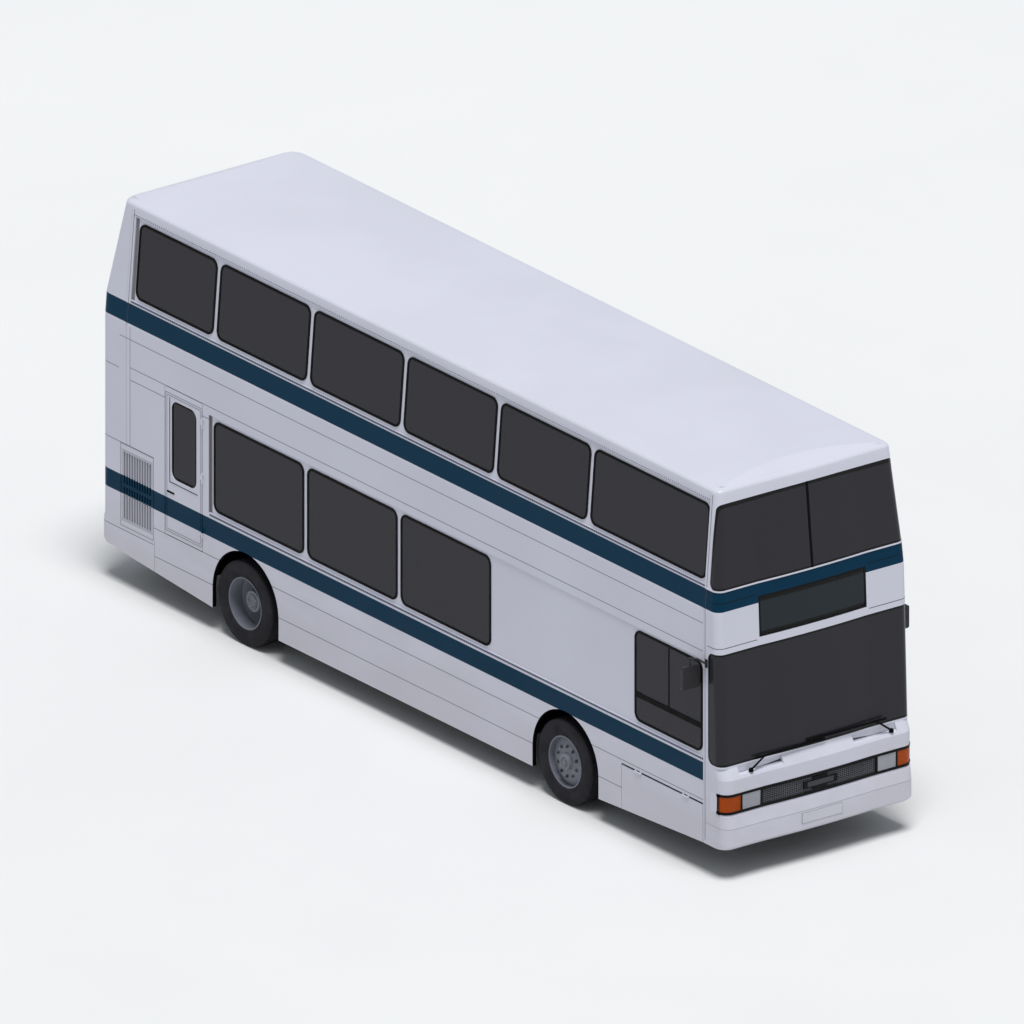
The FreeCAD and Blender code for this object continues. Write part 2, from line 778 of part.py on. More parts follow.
def entrance_steps():
    """Treads, risers and cheeks of the entrance, and the posts' lower bearings in the sill."""
    x0, x1 = door_rear - 20, door_front + 20
    under, second_under = step_z - step_plate, second_step_z - step_plate
    sill = box(door_rear + 2, door_front - 2, sill_edge, half, under, step_z)
    for x in (rear_post_x, front_post_x):
        sill = sill.cut(rod(V(x, post_y, under - 1), V(x, post_y, step_z + 1), post_radius + bearing_clearance))
    pieces = [
        sill,
        box(x0, x1, step_edge, sill_edge - fit, under, step_z),
        box(x0, x1, step_edge - 20, step_edge - fit, under, second_under - fit),
        box(x0, x1, second_step_edge, step_edge, second_under, second_step_z),
        box(x0, x1, second_step_edge - 20, second_step_edge - fit, second_under, floor_under),
    ]
    for xa, xb in ((x0, door_rear), (door_front, x1)):
        pieces.append(box(xa, xb, second_step_edge, step_edge, second_step_z + fit, floor_under))
        pieces.append(box(xa, xb, step_edge + fit, inside, step_z + fit, floor_under))
    return pieces


def upper_floor():
    """Upper floor with the stair opening."""
    floor = fused([
        box(rear_seam, front_seam - 20, -inside, inside, ceiling_z, upper_floor_z),
        box(front_seam - 20, body_length - 300, -1000, 1000, ceiling_z, upper_floor_z),
        box(rear_face + shell, rear_seam, -1100, 1100, ceiling_z, upper_floor_z),
    ])
    return floor.cut(box(stair_head_x, well_front_x, -inside - 1, -stair_side_y + 5, ceiling_z - 1, upper_floor_z + 1))


def staircase():
    """Staircase behind the cab with its side panel and the guard on the upper floor."""
    pieces = []
    for i in range(stair_treads):
        x1 = stair_foot_x - stair_going * i
        z = floor_z + stair_rise * (i + 1)
        pieces.append(box(x1 - stair_going - 10, x1, -inside, -stair_side_y - 15, z - 30, z))
        pieces.append(box(x1 - 10, x1, -inside, -stair_side_y - 15, z - stair_rise, z))
    string = [
        (stair_foot_x, floor_z),
        (stair_foot_x, floor_z + stair_rise + 60),
        (stair_head_x, upper_floor_z + 60),
        (stair_head_x, upper_floor_z - 200),
    ]
    pieces.append(plate_y(string, -stair_side_y - 30, -stair_side_y))
    pieces.append(box(stair_head_x, well_front_x, -stair_side_y - 30, -stair_side_y, upper_floor_z, upper_floor_z + 800))
    return fused(pieces).cut(box(front_housing[0] - 500, front_housing[1] + 11, -half, -housing_inner + 1, 0, housing_top))


def wheel_housings():
    """Sheet boxes over the wheels, open below and outwards."""
    result = []
    t = housing_sheet
    for x0, x1 in (rear_housing, front_housing):
        outer = box(x0, x1, housing_inner, inside, floor_under - 150, housing_top)
        inner = box(x0 + t, x1 - t, housing_inner + t, inside + 1, 0, housing_top - t)
        result += pair(outer.cut(inner))
    return result


def seat(x, z, y0, y1):
    """Bench seat that faces forward."""
    outline = [
        (x + 40, z),
        (x + 60, z + 350),
        (x + 420, z + 360),
        (x + 435, z + 440),
        (x + 70, z + 425),
        (x - 25, z + 980),
        (x - 75, z + 975),
        (x + 0, z + 380),
        (x + 10, z),
    ]
    return plate_y(outline, y0, y1)


def lower_seats():
    """Seats of the lower deck and of the driver."""
    rows = []
    for i in range(lower_rows):
        rows += pair(seat(lower_first_row + seat_pitch * i, floor_z, inside - 10 - seat_width, inside - 10))
    rows.append(seat(bulkhead_x + 80, floor_z, -250, inside - 10))
    x = rear_axle_x + arch_lead
    bench = [(680, housing_top), (680, housing_top + 85), (1120, housing_top + 75), (1150, housing_top + 520),
             (1190, housing_top + 520), (1190, housing_top)]
    rows += pair(bar_x(bench, x - 560, x + 560))
    rows.append(seat(front_seam - 1125, floor_z, -1040, -560))
    return rows


def upper_seats():
    """Seats of the upper deck."""
    rows = []
    for i in range(upper_rows):
        x = upper_first_row + seat_pitch * i
        near = seat(x, upper_floor_z, 270, 270 + seat_width)
        rows.append(near)
        beside_stairs = x < well_front_x and x + seat_length > stair_head_x
        if not beside_stairs:
            rows.append(other_side(near))
    return rows


def handrails():
    """Upright rails of the lower deck, floor to ceiling."""
    stations = [lower_first_row - 40 + seat_pitch * i for i in range(0, lower_rows, 2)]
    places = [(x, y) for x in stations for y in (300.0, -300.0)]
    places += [(front_housing[0] - 50, 600.0), (front_housing[1] + 90, 260.0)]
    return [rod(V(x, y, floor_z), V(x, y, ceiling_z), 17.0) for x, y in places]


def cab_fittings():
    """Dashboard, steering column and wheel, and the partition behind the driver."""
    offsets = [(-305, 0), (-245, 0), (-215, 280), (125, 310), (145, 450), (-185, 550), (-345, 490), (-335, 270)]
    dash = plate_y([(front_seam + x, floor_z + z) for x, z in offsets], -1000, -260)
    column = rod(V(front_seam - 285, -790, floor_z + 300), V(front_seam - 475, -790, floor_z + 780), 28.0)
    grip = [(-15, -7), (-7, -15), (7, -15), (15, -7), (15, 7), (7, 15), (-7, 15), (-15, 7)]
    rim = polygon_face([V(225 + r, 0, h) for r, h in grip]).revolve(V(0, 0, 0), V(0, 0, 1), 360)
    wheel = fused([rim, box(-222, 222, -14, 14, -8, 8), box(-14, 14, -222, 0, -8, 8)])
    wheel.rotate(V(0, 0, 0), V(0, 1, 0), -22)
    wheel.translate(V(front_seam - 477, -790, floor_z + 785))
    partition = box(door_rear + 10, door_rear + 40, -inside, -300, floor_z, ceiling_z)
    partition = partition.cut(box(door_rear, door_rear + 50, -inside + 60, -360, floor_z + 720, ceiling_z - 140))
    return [fused([dash, column, wheel]), partition]


# Running gear


def tyre(y):
    """Tyre centred on y at the rear axle line."""
    w, t = tyre_width / 2, tread_width / 2
    profile = [
        (rim_radius, y - w + 14), (tyre_radius - shoulder_drop, y - w), (tyre_radius, y - t),
        (tyre_radius, y + t), (tyre_radius - shoulder_drop, y + w), (rim_radius, y + w - 14),
    ]
    return turned(profile, 0.0, tyre_radius)


def front_rim():
    """Front wheel disc, dished outwards, with the hub on the stub axle."""
    outer = rim_radius - fit
    w = rim_width / 2
    bore = stub_radius + bearing_clearance
    y = tyre_y
    profile = [
        (outer, y - w), (outer, y + w), (outer - 12, y + w), (outer - 12, y + 42), (180, y + 78),
        (hub_radius, y + 78), (hub_radius - 12, y + 122), (0.0, y + 122), (0.0, y + 98), (bore, y + 98),
        (bore, y - 55), (hub_radius, y - 55), (hub_radius, y + 66), (180, y + 66), (outer - 12, y + 26),
        (outer - 12, y - w),
    ]
    return turned(profile, 0.0, tyre_radius)


def rear_rims():
    """Both wheels of a twin pair on their hub, the outer one dished deep inwards."""
    outer = rim_radius - fit
    w = rim_width / 2
    bore = rear_stub_radius + bearing_clearance
    y0, y1 = tyre_y - twin_spacing, tyre_y
    m = (y0 + y1) / 2
    hub = rear_hub_radius
    profile = [
        (outer, y1 - w), (outer, y1 + w), (outer - 12, y1 + w), (outer - 12, y1 - 60), (216, m + 12), (hub, m + 12),
        (hub - 20, y1 + 10), (0.0, y1 + 10), (0.0, y1 - 22), (bore, y1 - 22), (bore, y0 - 80), (hub, y0 - 80),
        (hub, m - 12), (216, m - 12), (outer - 12, y0 + 60), (outer - 12, y0 - w), (outer, y0 - w),
        (outer, y0 + w), (outer - 12, y0 + w), (220, m), (outer - 12, y1 - w),
    ]
    return turned(profile, 0.0, tyre_radius)


def at_front(shape):
    """Moves a wheel piece to the front axle."""
    return shape.translated(V(front_axle_x, 0, 0))


def at_rear(shape):
    """Moves a wheel piece to the rear axle."""
    return shape.translated(V(rear_axle_x, 0, 0))


def knuckle():
    """Nearside steering knuckle with its kingpin, stub axle and steering arm."""
    x, y, z = front_axle_x, kingpin_y, tyre_radius
    pieces = [
        rod(V(x, y, z - 60), V(x, y, z + 60), kingpin_radius),
        box(x - 40, x + 40, y - 42, y + 62, z + 46, z + 72),
        box(x - 40, x + 40, y - 42, y + 62, z - 72, z - 46),
        box(x - 45, x + 45, y + 45, y + 66, z - 72, z + 72),
        rod(V(x, y + 60, z), V(x, tyre_y + 94, z), stub_radius),
        box(x - steering_arm, x, y - 20, y + 20, z - 72, z - 46),
        rod(V(x - steering_arm, y, z - 72), V(x - steering_arm, y, z - 46), 20.0),
        rod(V(x - steering_arm, y, z - 104), V(x - steering_arm, y, z - 60), arm_pin),
    ]
    return fused(pieces)


def track_rod():
    """Rod between the two steering arms."""
    x, z = front_axle_x - steering_arm, tyre_radius - 89
    rod_piece = rod(V(x, -kingpin_y, z), V(x, kingpin_y, z), 11.0)
    for y in (-kingpin_y, kingpin_y):
        rod_piece = rod_piece.fuse(rod(V(x, y, z - 13), V(x, y, z + 13), 20.0))
    for y in (-kingpin_y, kingpin_y):
        rod_piece = rod_piece.cut(rod(V(x, y, z - 14), V(x, y, z + 14), arm_pin + bearing_clearance))
    return rod_piece


def front_axle_beam():
    """Dropped front axle beam with an eye for each kingpin."""
    x, z = front_axle_x, tyre_radius
    pieces = [box(x - 45, x + 45, -860, 860, beam_bottom, beam_top)]
    for side in (-1, 1):
        y = side * kingpin_y
        pieces.append(box(x - 35, x + 35, min(side * 800, side * 880), max(side * 800, side * 880), beam_bottom, z + 38))
        pieces.append(box(x - 28, x + 28, min(side * 860, y), max(side * 860, y), z - 34, z + 34))
        pieces.append(rod(V(x, y, z - 40), V(x, y, z + 40), 38.0))
    beam = fused(pieces)
    for side in (-1, 1):
        y = side * kingpin_y
        beam = beam.cut(rod(V(x, y, z - 41), V(x, y, z + 41), kingpin_radius + bearing_clearance))
    return beam


def rear_axle():
    """Driven rear axle with its final drive, stub ends and spring arms."""
    x, z = rear_axle_x, tyre_radius
    inner = tyre_y - twin_spacing - 90
    pieces = [
        rod(V(x, -inner, z), V(x, inner, z), 75.0),
        rod(V(x, -tyre_y + 26, z), V(x, tyre_y - 26, z), rear_stub_radius),
        rod(V(x, -110, z), V(x, 110, z), 170.0),
        rod(V(x - 330, 0, z), V(x, 0, z), 80.0),
    ]
    for side in (-1, 1):
        y0, y1 = sorted((side * rail_inner, side * rail_outer))
        pieces.append(box(x - 560, x + 560, y0, y1, z - 140, z - 60))
    return fused(pieces)


def air_springs():
    """Air bellows between the axles and the chassis rails."""
    middle = (rail_inner + rail_outer) / 2
    pieces = pair(rod(V(front_axle_x, middle, beam_top), V(front_axle_x, middle, rail_bottom), spring_radius))
    for dx in (-460, 460):
        foot = V(rear_axle_x + dx, middle, tyre_radius - 60)
        pieces += pair(rod(foot, V(foot.x, foot.y, rail_bottom), spring_radius))
    return pieces


def chassis_rails():
    """Chassis rails, cranked down at the front, where the floor is low."""
    y0, y1 = rail_inner, rail_outer
    rail = fused([
        box(60, rail_crank_x, y0, y1, rail_bottom, floor_under),
        box(rail_crank_x - 80, rail_crank_x, y0, y1, front_rail_bottom, floor_under),
        box(rail_crank_x - 80, nose_beam_x, y0, y1, front_rail_bottom, front_rail_top),
    ])
    return pair(rail)


def cross_members():
    """Beams between the rails and across their ends, and the two that stand on the front rails."""
    pieces = [box(x - 40, x + 40, -rail_inner, rail_inner, rail_bottom + 20, floor_under) for x in cross_beams]
    pieces += [box(x - 25, x + 25, -rail_inner, rail_inner, bearer_z, floor_under) for x in bearers]
    pieces.append(box(door_rear + 10, door_rear + 70, -inside, second_step_edge - 25, front_rail_top, floor_under))
    pieces.append(box(door_front + 50, door_front + 110, -inside, inside, front_rail_top, floor_under))
    pieces.append(box(nose_beam_x, nose_beam_x + 50, -900, 900, front_rail_bottom, front_rail_top))
    pieces.append(box(60, 100, -900, 900, 470, rail_bottom))
    return pieces


def outriggers():
    """Brackets from the rails out to the body's sides, under the floor."""
    pieces = []
    for x in bearers:
        pieces += pair(box(x - 25, x + 25, rail_outer, inside, bearer_z, floor_under))
    return pieces


def engine_block():
    """Engine and gearbox as one plain mass, the shaft to the rear axle, and the radiator."""
    pieces = [
        box(150, 1000, -rail_inner + 20, rail_inner - 20, 450, 1350),
        box(300, 400, -rail_inner, rail_inner, 620, 720),
        box(800, 900, -rail_inner, rail_inner, 620, 720),
        box(990, 1450, -200, 200, 440, floor_under - 75),
        rod(V(1440, 0, 560), V(rear_axle_x - 330, 0, tyre_radius), 45.0),
    ]
    engine = fused(pieces)
    engine = engine.cut(box(rear_axle_x - 330, rear_axle_x, -100, 100, 300, 700))
    x0, x1, z0, z1 = louvre
    radiator = box(x0 - 15, x1 + 25, -inside, -inside + 80, z0 - 15, z1 + 15)
    return [engine, radiator]


def fuel_tank():
    """Fuel tank hung under the floor on the nearside."""
    x = front_housing[0] - 2350
    return rounded_y(x, x + 800, floor_under - 360, floor_under, 40, half - 690, half - 100)


# Doors


def door_post(x, way):
    """Door post with its two arms towards the middle of the leaf."""
    top = door_head
    bottom = step_z - step_plate
    pieces = [rod(V(x, post_y, bottom), V(x, post_y, top), post_radius)]
    reach = x + way * arm_length
    for z in (step_z + arm_gap, door_head - 30 - arm_gap - arm_thickness):
        x0, x1 = sorted((x, reach))
        pieces.append(box(x0, x1, post_y - arm_half, post_y + arm_half, z, z + arm_thickness))
        pieces.append(rod(V(reach, post_y, z), V(reach, post_y, z + arm_thickness), arm_half))
        pieces.append(rod(V(x, post_y, z), V(x, post_y, z + arm_thickness), arm_half))
    post = fused(pieces)
    for z in (step_z + arm_gap, door_head - 30 - arm_gap - arm_thickness):
        bore = rod(V(reach, post_y, z - 1), V(reach, post_y, z + arm_thickness + 1), arm_pin + bearing_clearance)
        post = post.cut(bore)
    return post


leaf_bottom = step_z + 2 * arm_gap + arm_thickness
leaf_top = door_head - 30 - 2 * arm_gap - arm_thickness


def leaf_span(x, way):
    """Rear and front edges of a leaf."""
    return sorted((x + way * (post_radius + post_to_leaf), x + way * 2 * arm_length))


def door_leaf(x, way):
    """Door leaf with a pin at the middle of its head and foot."""
    x0, x1 = leaf_span(x, way)
    y0, y1 = post_y - leaf_thickness / 2, post_y + leaf_thickness / 2
    leaf = box(x0, x1, y0, y1, leaf_bottom, leaf_top)
    f = leaf_frame
    opening = rounded_y(x0 + f, x1 - f, leaf_bottom + f + 120, leaf_top - f, 40, y0 - 1, y1 + 1)
    leaf = leaf.cut(opening)
    seat_space = rounded_y(x0 + f - 15, x1 - f + 15, leaf_bottom + f + 105, leaf_top - f + 15, 50, y1 - pane, y1 + 1)
    leaf = leaf.cut(seat_space)
    pin_x = x + way * arm_length
    pins = [
        rod(V(pin_x, post_y, leaf_bottom - arm_gap - arm_thickness), V(pin_x, post_y, leaf_bottom + 5), arm_pin),
        rod(V(pin_x, post_y, leaf_top - 5), V(pin_x, post_y, leaf_top + arm_gap + arm_thickness), arm_pin),
    ]
    return fused([leaf] + pins)


def leaf_glass(x, way):
    """Pane of a door leaf, set in from outside."""
    x0, x1 = leaf_span(x, way)
    y1 = post_y + leaf_thickness / 2
    f = leaf_frame - 15
    return rounded_y(x0 + f, x1 - f, leaf_bottom + f + 120, leaf_top - f, 50, y1 - pane, y1)


# Fittings


def mirror():
    """Nearside mirror head on its arm."""
    foot_z, arm_z = mirror_foot_z, mirror_foot_z + 45
    head_x = mirror_foot_x - mirror_setback
    head = rounded(box(head_x - 25, head_x + 25, half + 10, half + 235, foot_z - 290, foot_z - 35), 20, V(1, 0, 0))
    elbow = V(mirror_foot_x - 70, half + 70, arm_z)
    drop = V(head_x, half + 125, arm_z)
    arm = box(mirror_foot_x - 17, mirror_foot_x + 17, half, half + 14, foot_z - 45, foot_z + 45)
    for start, end in ((V(mirror_foot_x, half + 12, foot_z), elbow), (elbow, drop), (drop, V(drop.x, drop.y, foot_z - 45))):
        reach = (end - start).normalize() * 8.0
        arm = arm.fuse(rod(start, end + reach, 11.0))
    return arm.fuse(head).removeSplitter()


def wiper(pivot_y, tip_y, blade_z):
    """Windscreen wiper parked flat along the foot of the screen, its pivot in the pocket."""
    slope = V(30.0, 0, 134.0).normalize()
    foot = V(body_length - 74, pivot_y, panel_top_z - 84) + slope * fit
    top = foot + slope * 34
    heel_y = pivot_y + (60.0 if tip_y > pivot_y else -60.0)
    middle = V(body_length - 72, (heel_y + tip_y) / 2, blade_z)
    sweep = sorted((heel_y, tip_y))
    blade = box(body_length - 88, body_length - 66, *sweep, blade_z - 7, blade_z + 7)
    return fused([rod(foot, top, 15.0), rod(foot + slope * 26, middle, 7.0), blade])


def wipers():
    """Both wipers, one from each pocket."""
    return [wiper(-880.0, 103.0, screen_sill + 32), wiper(960.0, -146.0, screen_sill + 68)]


def rear_lamps():
    """Rear lamp clusters, one in each rear corner panel."""
    block = box(rear_face - 12, rear_face, 880, 1060, 780, 1240)
    return pair(block)


def rear_glass():
    """Upper rear window."""
    return rear_shell(rear_window_sill - 10, rear_window_head + 10, 8.0, 4.0).common(rear_window_shape())


def window_glass():
    """All fixed side windows and the rear window."""
    near = panes(lower_windows(4) + upper_windows())
    off = [other_side(p) for p in panes(lower_windows(3) + [cab_window] + upper_windows())]
    return near + off + [rear_glass()]


def exit_glass():
    """Pane of the emergency door."""
    x0, x1, z0, z1 = exit_window
    slab = box(x0, x1, half - band_depth, half - band_depth + pane, z0, z1)
    return other_side(slab.common(window_block(x0, x1, z0, z1, 0.0)))


def main():
    """Builds and writes every node."""
    os.makedirs("parts", exist_ok=True)
    export("chassis_rails", chassis_rails())
    export("cross_members", cross_members())
    export("outriggers", outriggers())
    export("air_springs", air_springs())
    export("front_axle_beam", [front_axle_beam()])
    near_knuckle = knuckle()
    export("knuckle_nearside", [near_knuckle])
    export("knuckle_offside", [other_side(near_knuckle)])
    export("track_rod", [track_rod()])
    export("rear_axle", [rear_axle()])
    export("engine_block", engine_block())
    export("fuel_tank", [fuel_tank()])
    export("lower_floor", lower_floor())
    export("entrance_steps", entrance_steps())
    export("upper_floor", [upper_floor()])
    export("offside_lower_side", [offside_lower_side()])
    export("nearside_lower_side", [nearside_lower_side()])
    export("entrance_frame", entrance_frame())
    near_upper = upper_side()
    export("nearside_upper_side", [near_upper])
    export("offside_upper_side", [other_side(near_upper)])
    export("roof", [roof()])
    export("front_panel", [front_panel()])
    export("front_surround", [front_surround()])
    export("front_glass", front_glass())
    export("destination_box", [destination_box()])
    export("front_grille", [front_grille()])
    lamp_outer = grille_half + headlamp_width
    export("headlamps", pair(lamp_band(grille_half, lamp_outer, shell - 4, 2.0)))
    export("indicators", pair(lamp_band(lamp_outer, half + 10, shell - 4, 2.0)))
    export("front_bumper", [front_bumper()])
    export("rear_bumper", [rear_bumper()])
    export("rear_lower_panel", [rear_lower_panel()])
    export("rear_upper_panel", [rear_upper_panel()])
    export("engine_cover", [engine_cover()])
    export("window_glass", window_glass())
    export("emergency_door", [emergency_door()])
    export("emergency_door_glass", [exit_glass()])
    export("side_louvre", [side_louvre()])
    export("locker_flap", [locker_flap()])
    export("door_post_rear", [door_post(rear_post_x, 1)])
    export("door_post_front", [door_post(front_post_x, -1)])
    export("door_leaf_rear", [door_leaf(rear_post_x, 1)])
    export("door_leaf_front", [door_leaf(front_post_x, -1)])
    export("door_glass_rear", [leaf_glass(rear_post_x, 1)])
    export("door_glass_front", [leaf_glass(front_post_x, -1)])
    export("mirrors", pair(mirror()))
    export("wipers", wipers())
    export("rear_lamps", rear_lamps())
    export("lower_seats", lower_seats())
    export("upper_seats", upper_seats())
    export("staircase", [staircase()])
    export("cab_fittings", cab_fittings())
    export("handrails", handrails())
    export("wheel_housings", wheel_housings())
    front_tyre = at_front(tyre(tyre_y))
    rim = at_front(front_rim())
    twin_tyres = [at_rear(tyre(tyre_y)), at_rear(tyre(tyre_y - twin_spacing))]
    rims = at_rear(rear_rims())
    export("front_tyre_nearside", [front_tyre])
    export("front_tyre_offside", [other_side(front_tyre)])
    export("front_rim_nearside", [rim])
    export("front_rim_offside", [other_side(rim)])
    export("rear_tyres_nearside", twin_tyres)
    export("rear_tyres_offside", [other_side(t) for t in twin_tyres])
    export("rear_rims_nearside", [rims])
    export("rear_rims_offside", [other_side(rims)])


main()
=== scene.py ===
"""Looks of a double-decker bus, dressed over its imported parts.

Metres, in the parts' own frame: x forwards, y to the nearside, z up. Places along the body are
written as distances from the rearmost face, and Body.x turns them into x.
"""

import logging
import math
import operator
from dataclasses import dataclass, field
from enum import Enum
from functools import reduce
from typing import Any, Iterable, Sequence

import bmesh
import bpy
from mathutils import Matrix, Vector


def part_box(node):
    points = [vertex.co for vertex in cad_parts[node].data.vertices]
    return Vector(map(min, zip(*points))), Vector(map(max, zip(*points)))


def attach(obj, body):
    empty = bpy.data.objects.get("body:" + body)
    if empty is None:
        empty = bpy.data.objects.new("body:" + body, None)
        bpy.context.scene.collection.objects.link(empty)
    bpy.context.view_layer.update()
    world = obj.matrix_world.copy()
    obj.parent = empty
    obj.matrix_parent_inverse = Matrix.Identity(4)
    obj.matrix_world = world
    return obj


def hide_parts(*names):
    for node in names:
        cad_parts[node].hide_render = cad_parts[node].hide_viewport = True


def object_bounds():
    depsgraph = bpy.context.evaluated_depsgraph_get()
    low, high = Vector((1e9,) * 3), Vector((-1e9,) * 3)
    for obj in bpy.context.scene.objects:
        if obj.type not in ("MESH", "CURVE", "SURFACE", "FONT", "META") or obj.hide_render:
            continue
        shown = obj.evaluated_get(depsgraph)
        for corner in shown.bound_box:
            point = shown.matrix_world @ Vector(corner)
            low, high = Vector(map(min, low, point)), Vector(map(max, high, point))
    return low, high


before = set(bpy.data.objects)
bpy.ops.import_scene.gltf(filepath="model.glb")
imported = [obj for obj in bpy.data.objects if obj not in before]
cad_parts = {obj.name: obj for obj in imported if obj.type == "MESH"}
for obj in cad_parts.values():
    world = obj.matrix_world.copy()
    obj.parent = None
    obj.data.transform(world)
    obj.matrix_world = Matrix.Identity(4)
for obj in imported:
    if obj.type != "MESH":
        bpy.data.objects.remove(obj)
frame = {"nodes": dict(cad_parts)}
CAD_LOW, CAD_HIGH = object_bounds()

log = logging.getLogger("bus")
logging.basicConfig(level=logging.INFO, format="%(message)s")

Pair = tuple[float, float]
Triple = tuple[float, float, float]
Quad = tuple[float, float, float, float]
Colour = Triple
WHITE: Colour = (0.64, 0.64, 0.73)


# Shading


class Value:
    """One shader value; ordinary operators on it add the Math nodes."""

    def __init__(self, net: "Net", socket: Any) -> None:
        """Wraps an output socket of a net."""
        self.net = net
        self.socket = socket

    def sibling(self, output: int | str) -> "Value":
        """Another output of the same node."""
        return Value(self.net, self.socket.node.outputs[output])

    def math(self, operation: str, *others: Any) -> "Value":
        """Adds one Math node.

        Args:
            operation: name of the Math operation.
            others: the other operands, values or numbers.

        Returns:
            The node's result.
        """
        return self.net.add("ShaderNodeMath", {"operation": operation}, dict(enumerate((self, *others))))

    def __add__(self, other: Any) -> "Value":
        """Sum."""
        return self.math("ADD", other)

    def __sub__(self, other: Any) -> "Value":
        """Difference."""
        return self.math("SUBTRACT", other)

    def __rsub__(self, other: float) -> "Value":
        """A number less this value."""
        return self.math("MULTIPLY", -1.0) + other

    def __mul__(self, other: Any) -> "Value":
        """Product."""
        return self.math("MULTIPLY", other)

    def __abs__(self) -> "Value":
        """Size without its sign."""
        return self.math("ABSOLUTE")

    def __or__(self, other: Any) -> "Value":
        """The larger of two masks."""
        return self.math("MAXIMUM", other)

    def __and__(self, other: Any) -> "Value":
        """The smaller of two masks."""
        return self.math("MINIMUM", other)


def union(masks: Iterable[Value]) -> Value:
    """The largest of several masks."""
    return reduce(operator.or_, masks)


class Net:
    """Node tree of a material or a world, built in a few calls."""

    def __init__(self, owner: Any) -> None:
        """Starts with the owner's tree, emptied."""
        owner.use_nodes = True
        self.tree = owner.node_tree
        self.tree.nodes.clear()

    def add(self, kind: str, settings: dict[str, Any], inputs: dict[Any, Any], output: Any = 0) -> Value:
        """Adds one node.

        Args:
            kind: Blender's name for the node.
            settings: the node's own settings, put in first.
            inputs: numbers, colours or values for its sockets, by name or place.
            output: name or place of the socket that is wanted.

        Returns:
            The wanted output.
        """
        node = self.tree.nodes.new(kind)
        for key, value in settings.items():
            setattr(node, key, value)
        for key, value in inputs.items():
            if isinstance(value, Value):
                self.tree.links.new(value.socket, node.inputs[key])
            elif isinstance(value, tuple) and len(value) == 3 and node.inputs[key].type == "RGBA":
                node.inputs[key].default_value = (*value, 1.0)
            else:
                node.inputs[key].default_value = value
        return Value(self, node.outputs[output])

    def place(self) -> Value:
        """Object coordinates."""
        return self.add("ShaderNodeTexCoord", {}, {}, "Object")

    def axes(self) -> list[Value]:
        """Object coordinates along, across and up."""
        along = self.add("ShaderNodeSeparateXYZ", {}, {0: self.place()})
        return [along.sibling(i) for i in range(3)]

    def ramp(self, value: Value, low: float, high: float) -> Value:
        """Smooth step from 0 at low to 1 at high."""
        inputs = {0: value, 1: low, 2: high, 3: 0.0, 4: 1.0}
        return self.add("ShaderNodeMapRange", {"interpolation_type": "SMOOTHSTEP"}, inputs)

    def span(self, value: Value, low: float, high: float, soft: float = 0.0006) -> Value:
        """Mask that is 1 between two limits."""
        middle, reach = (low + high) / 2, (high - low) / 2
        return 1 - self.ramp(abs(value - middle), reach - soft, reach + soft)

    def noise(self, scale: float, detail: float = 3.0, stretch: Triple = (1.0, 1.0, 1.0)) -> Value:
        """Noise on Object coordinates, which may be stretched along an axis."""
        place = self.place()
        if stretch != (1.0, 1.0, 1.0):
            place = self.add("ShaderNodeVectorMath", {"operation": "MULTIPLY"}, {0: place, 1: stretch})
        return self.add("ShaderNodeTexNoise", {}, {"Vector": place, "Scale": scale, "Detail": detail})

    def blend(self, factor: Any, first: Any, second: Any) -> Value:
        """Mixes two colours."""
        return self.add("ShaderNodeMix", {"data_type": "RGBA"}, {0: factor, 6: first, 7: second}, 2)

    def bump(self, height: Value, depth: float) -> Value:
        """Normal that stands up by a height."""
        return self.add("ShaderNodeBump", {}, {"Height": height, "Distance": depth, "Strength": 1.0})

    def close(self, kind: str, shader: Value) -> None:
        """Adds the output node and links the finished shader to it."""
        output = self.tree.nodes.new(kind)
        self.tree.links.new(shader.socket, output.inputs["Surface"])


@dataclass(frozen=True)
class Finish:
    """Plain painted, moulded or cast surface with soft mottling and a fine grain."""

    name: str
    colour: Colour
    shade: float = 0.82
    roughness: float = 0.5
    metallic: float = 0.0
    coat: float = 0.0
    grain: float = 60.0
    depth: float = 0.0004
    patch: float = 1.6
    shine: float = 0.4

    def darker(self, share: float) -> Colour:
        """The colour at a share of its brightness."""
        return (self.colour[0] * share, self.colour[1] * share, self.colour[2] * share)

    def tint(self, net: Net) -> Value:
        """Colour over the surface."""
        return net.blend(net.ramp(net.noise(self.patch), 0.35, 0.65), self.darker(self.shade), self.colour)

    def relief(self, net: Net) -> Value:
        """Height over the surface, from 0 to 1."""
        return net.noise(self.grain, 2.0)

    def extras(self, net: Net) -> dict[str, Any]:
        """Further sockets of the shader."""
        return {}

    def build(self) -> bpy.types.Material:
        """Makes the material."""
        material = bpy.data.materials.new(self.name)
        net = Net(material)
        low = net.ramp(net.noise(self.patch * 3), 0.3, 0.7)
        shader = {
            "Base Color": self.tint(net),
            "Roughness": low * 0.12 + (self.roughness - 0.06),
            "Metallic": self.metallic,
            "Coat Weight": self.coat,
            "Coat Roughness": 0.08,
            "Specular IOR Level": self.shine,
        }
        if self.depth:
            shader["Normal"] = net.bump(self.relief(net), self.depth)
        shader.update(self.extras(net))
        net.close("ShaderNodeOutputMaterial", net.add("ShaderNodeBsdfPrincipled", {}, shader))
        return material


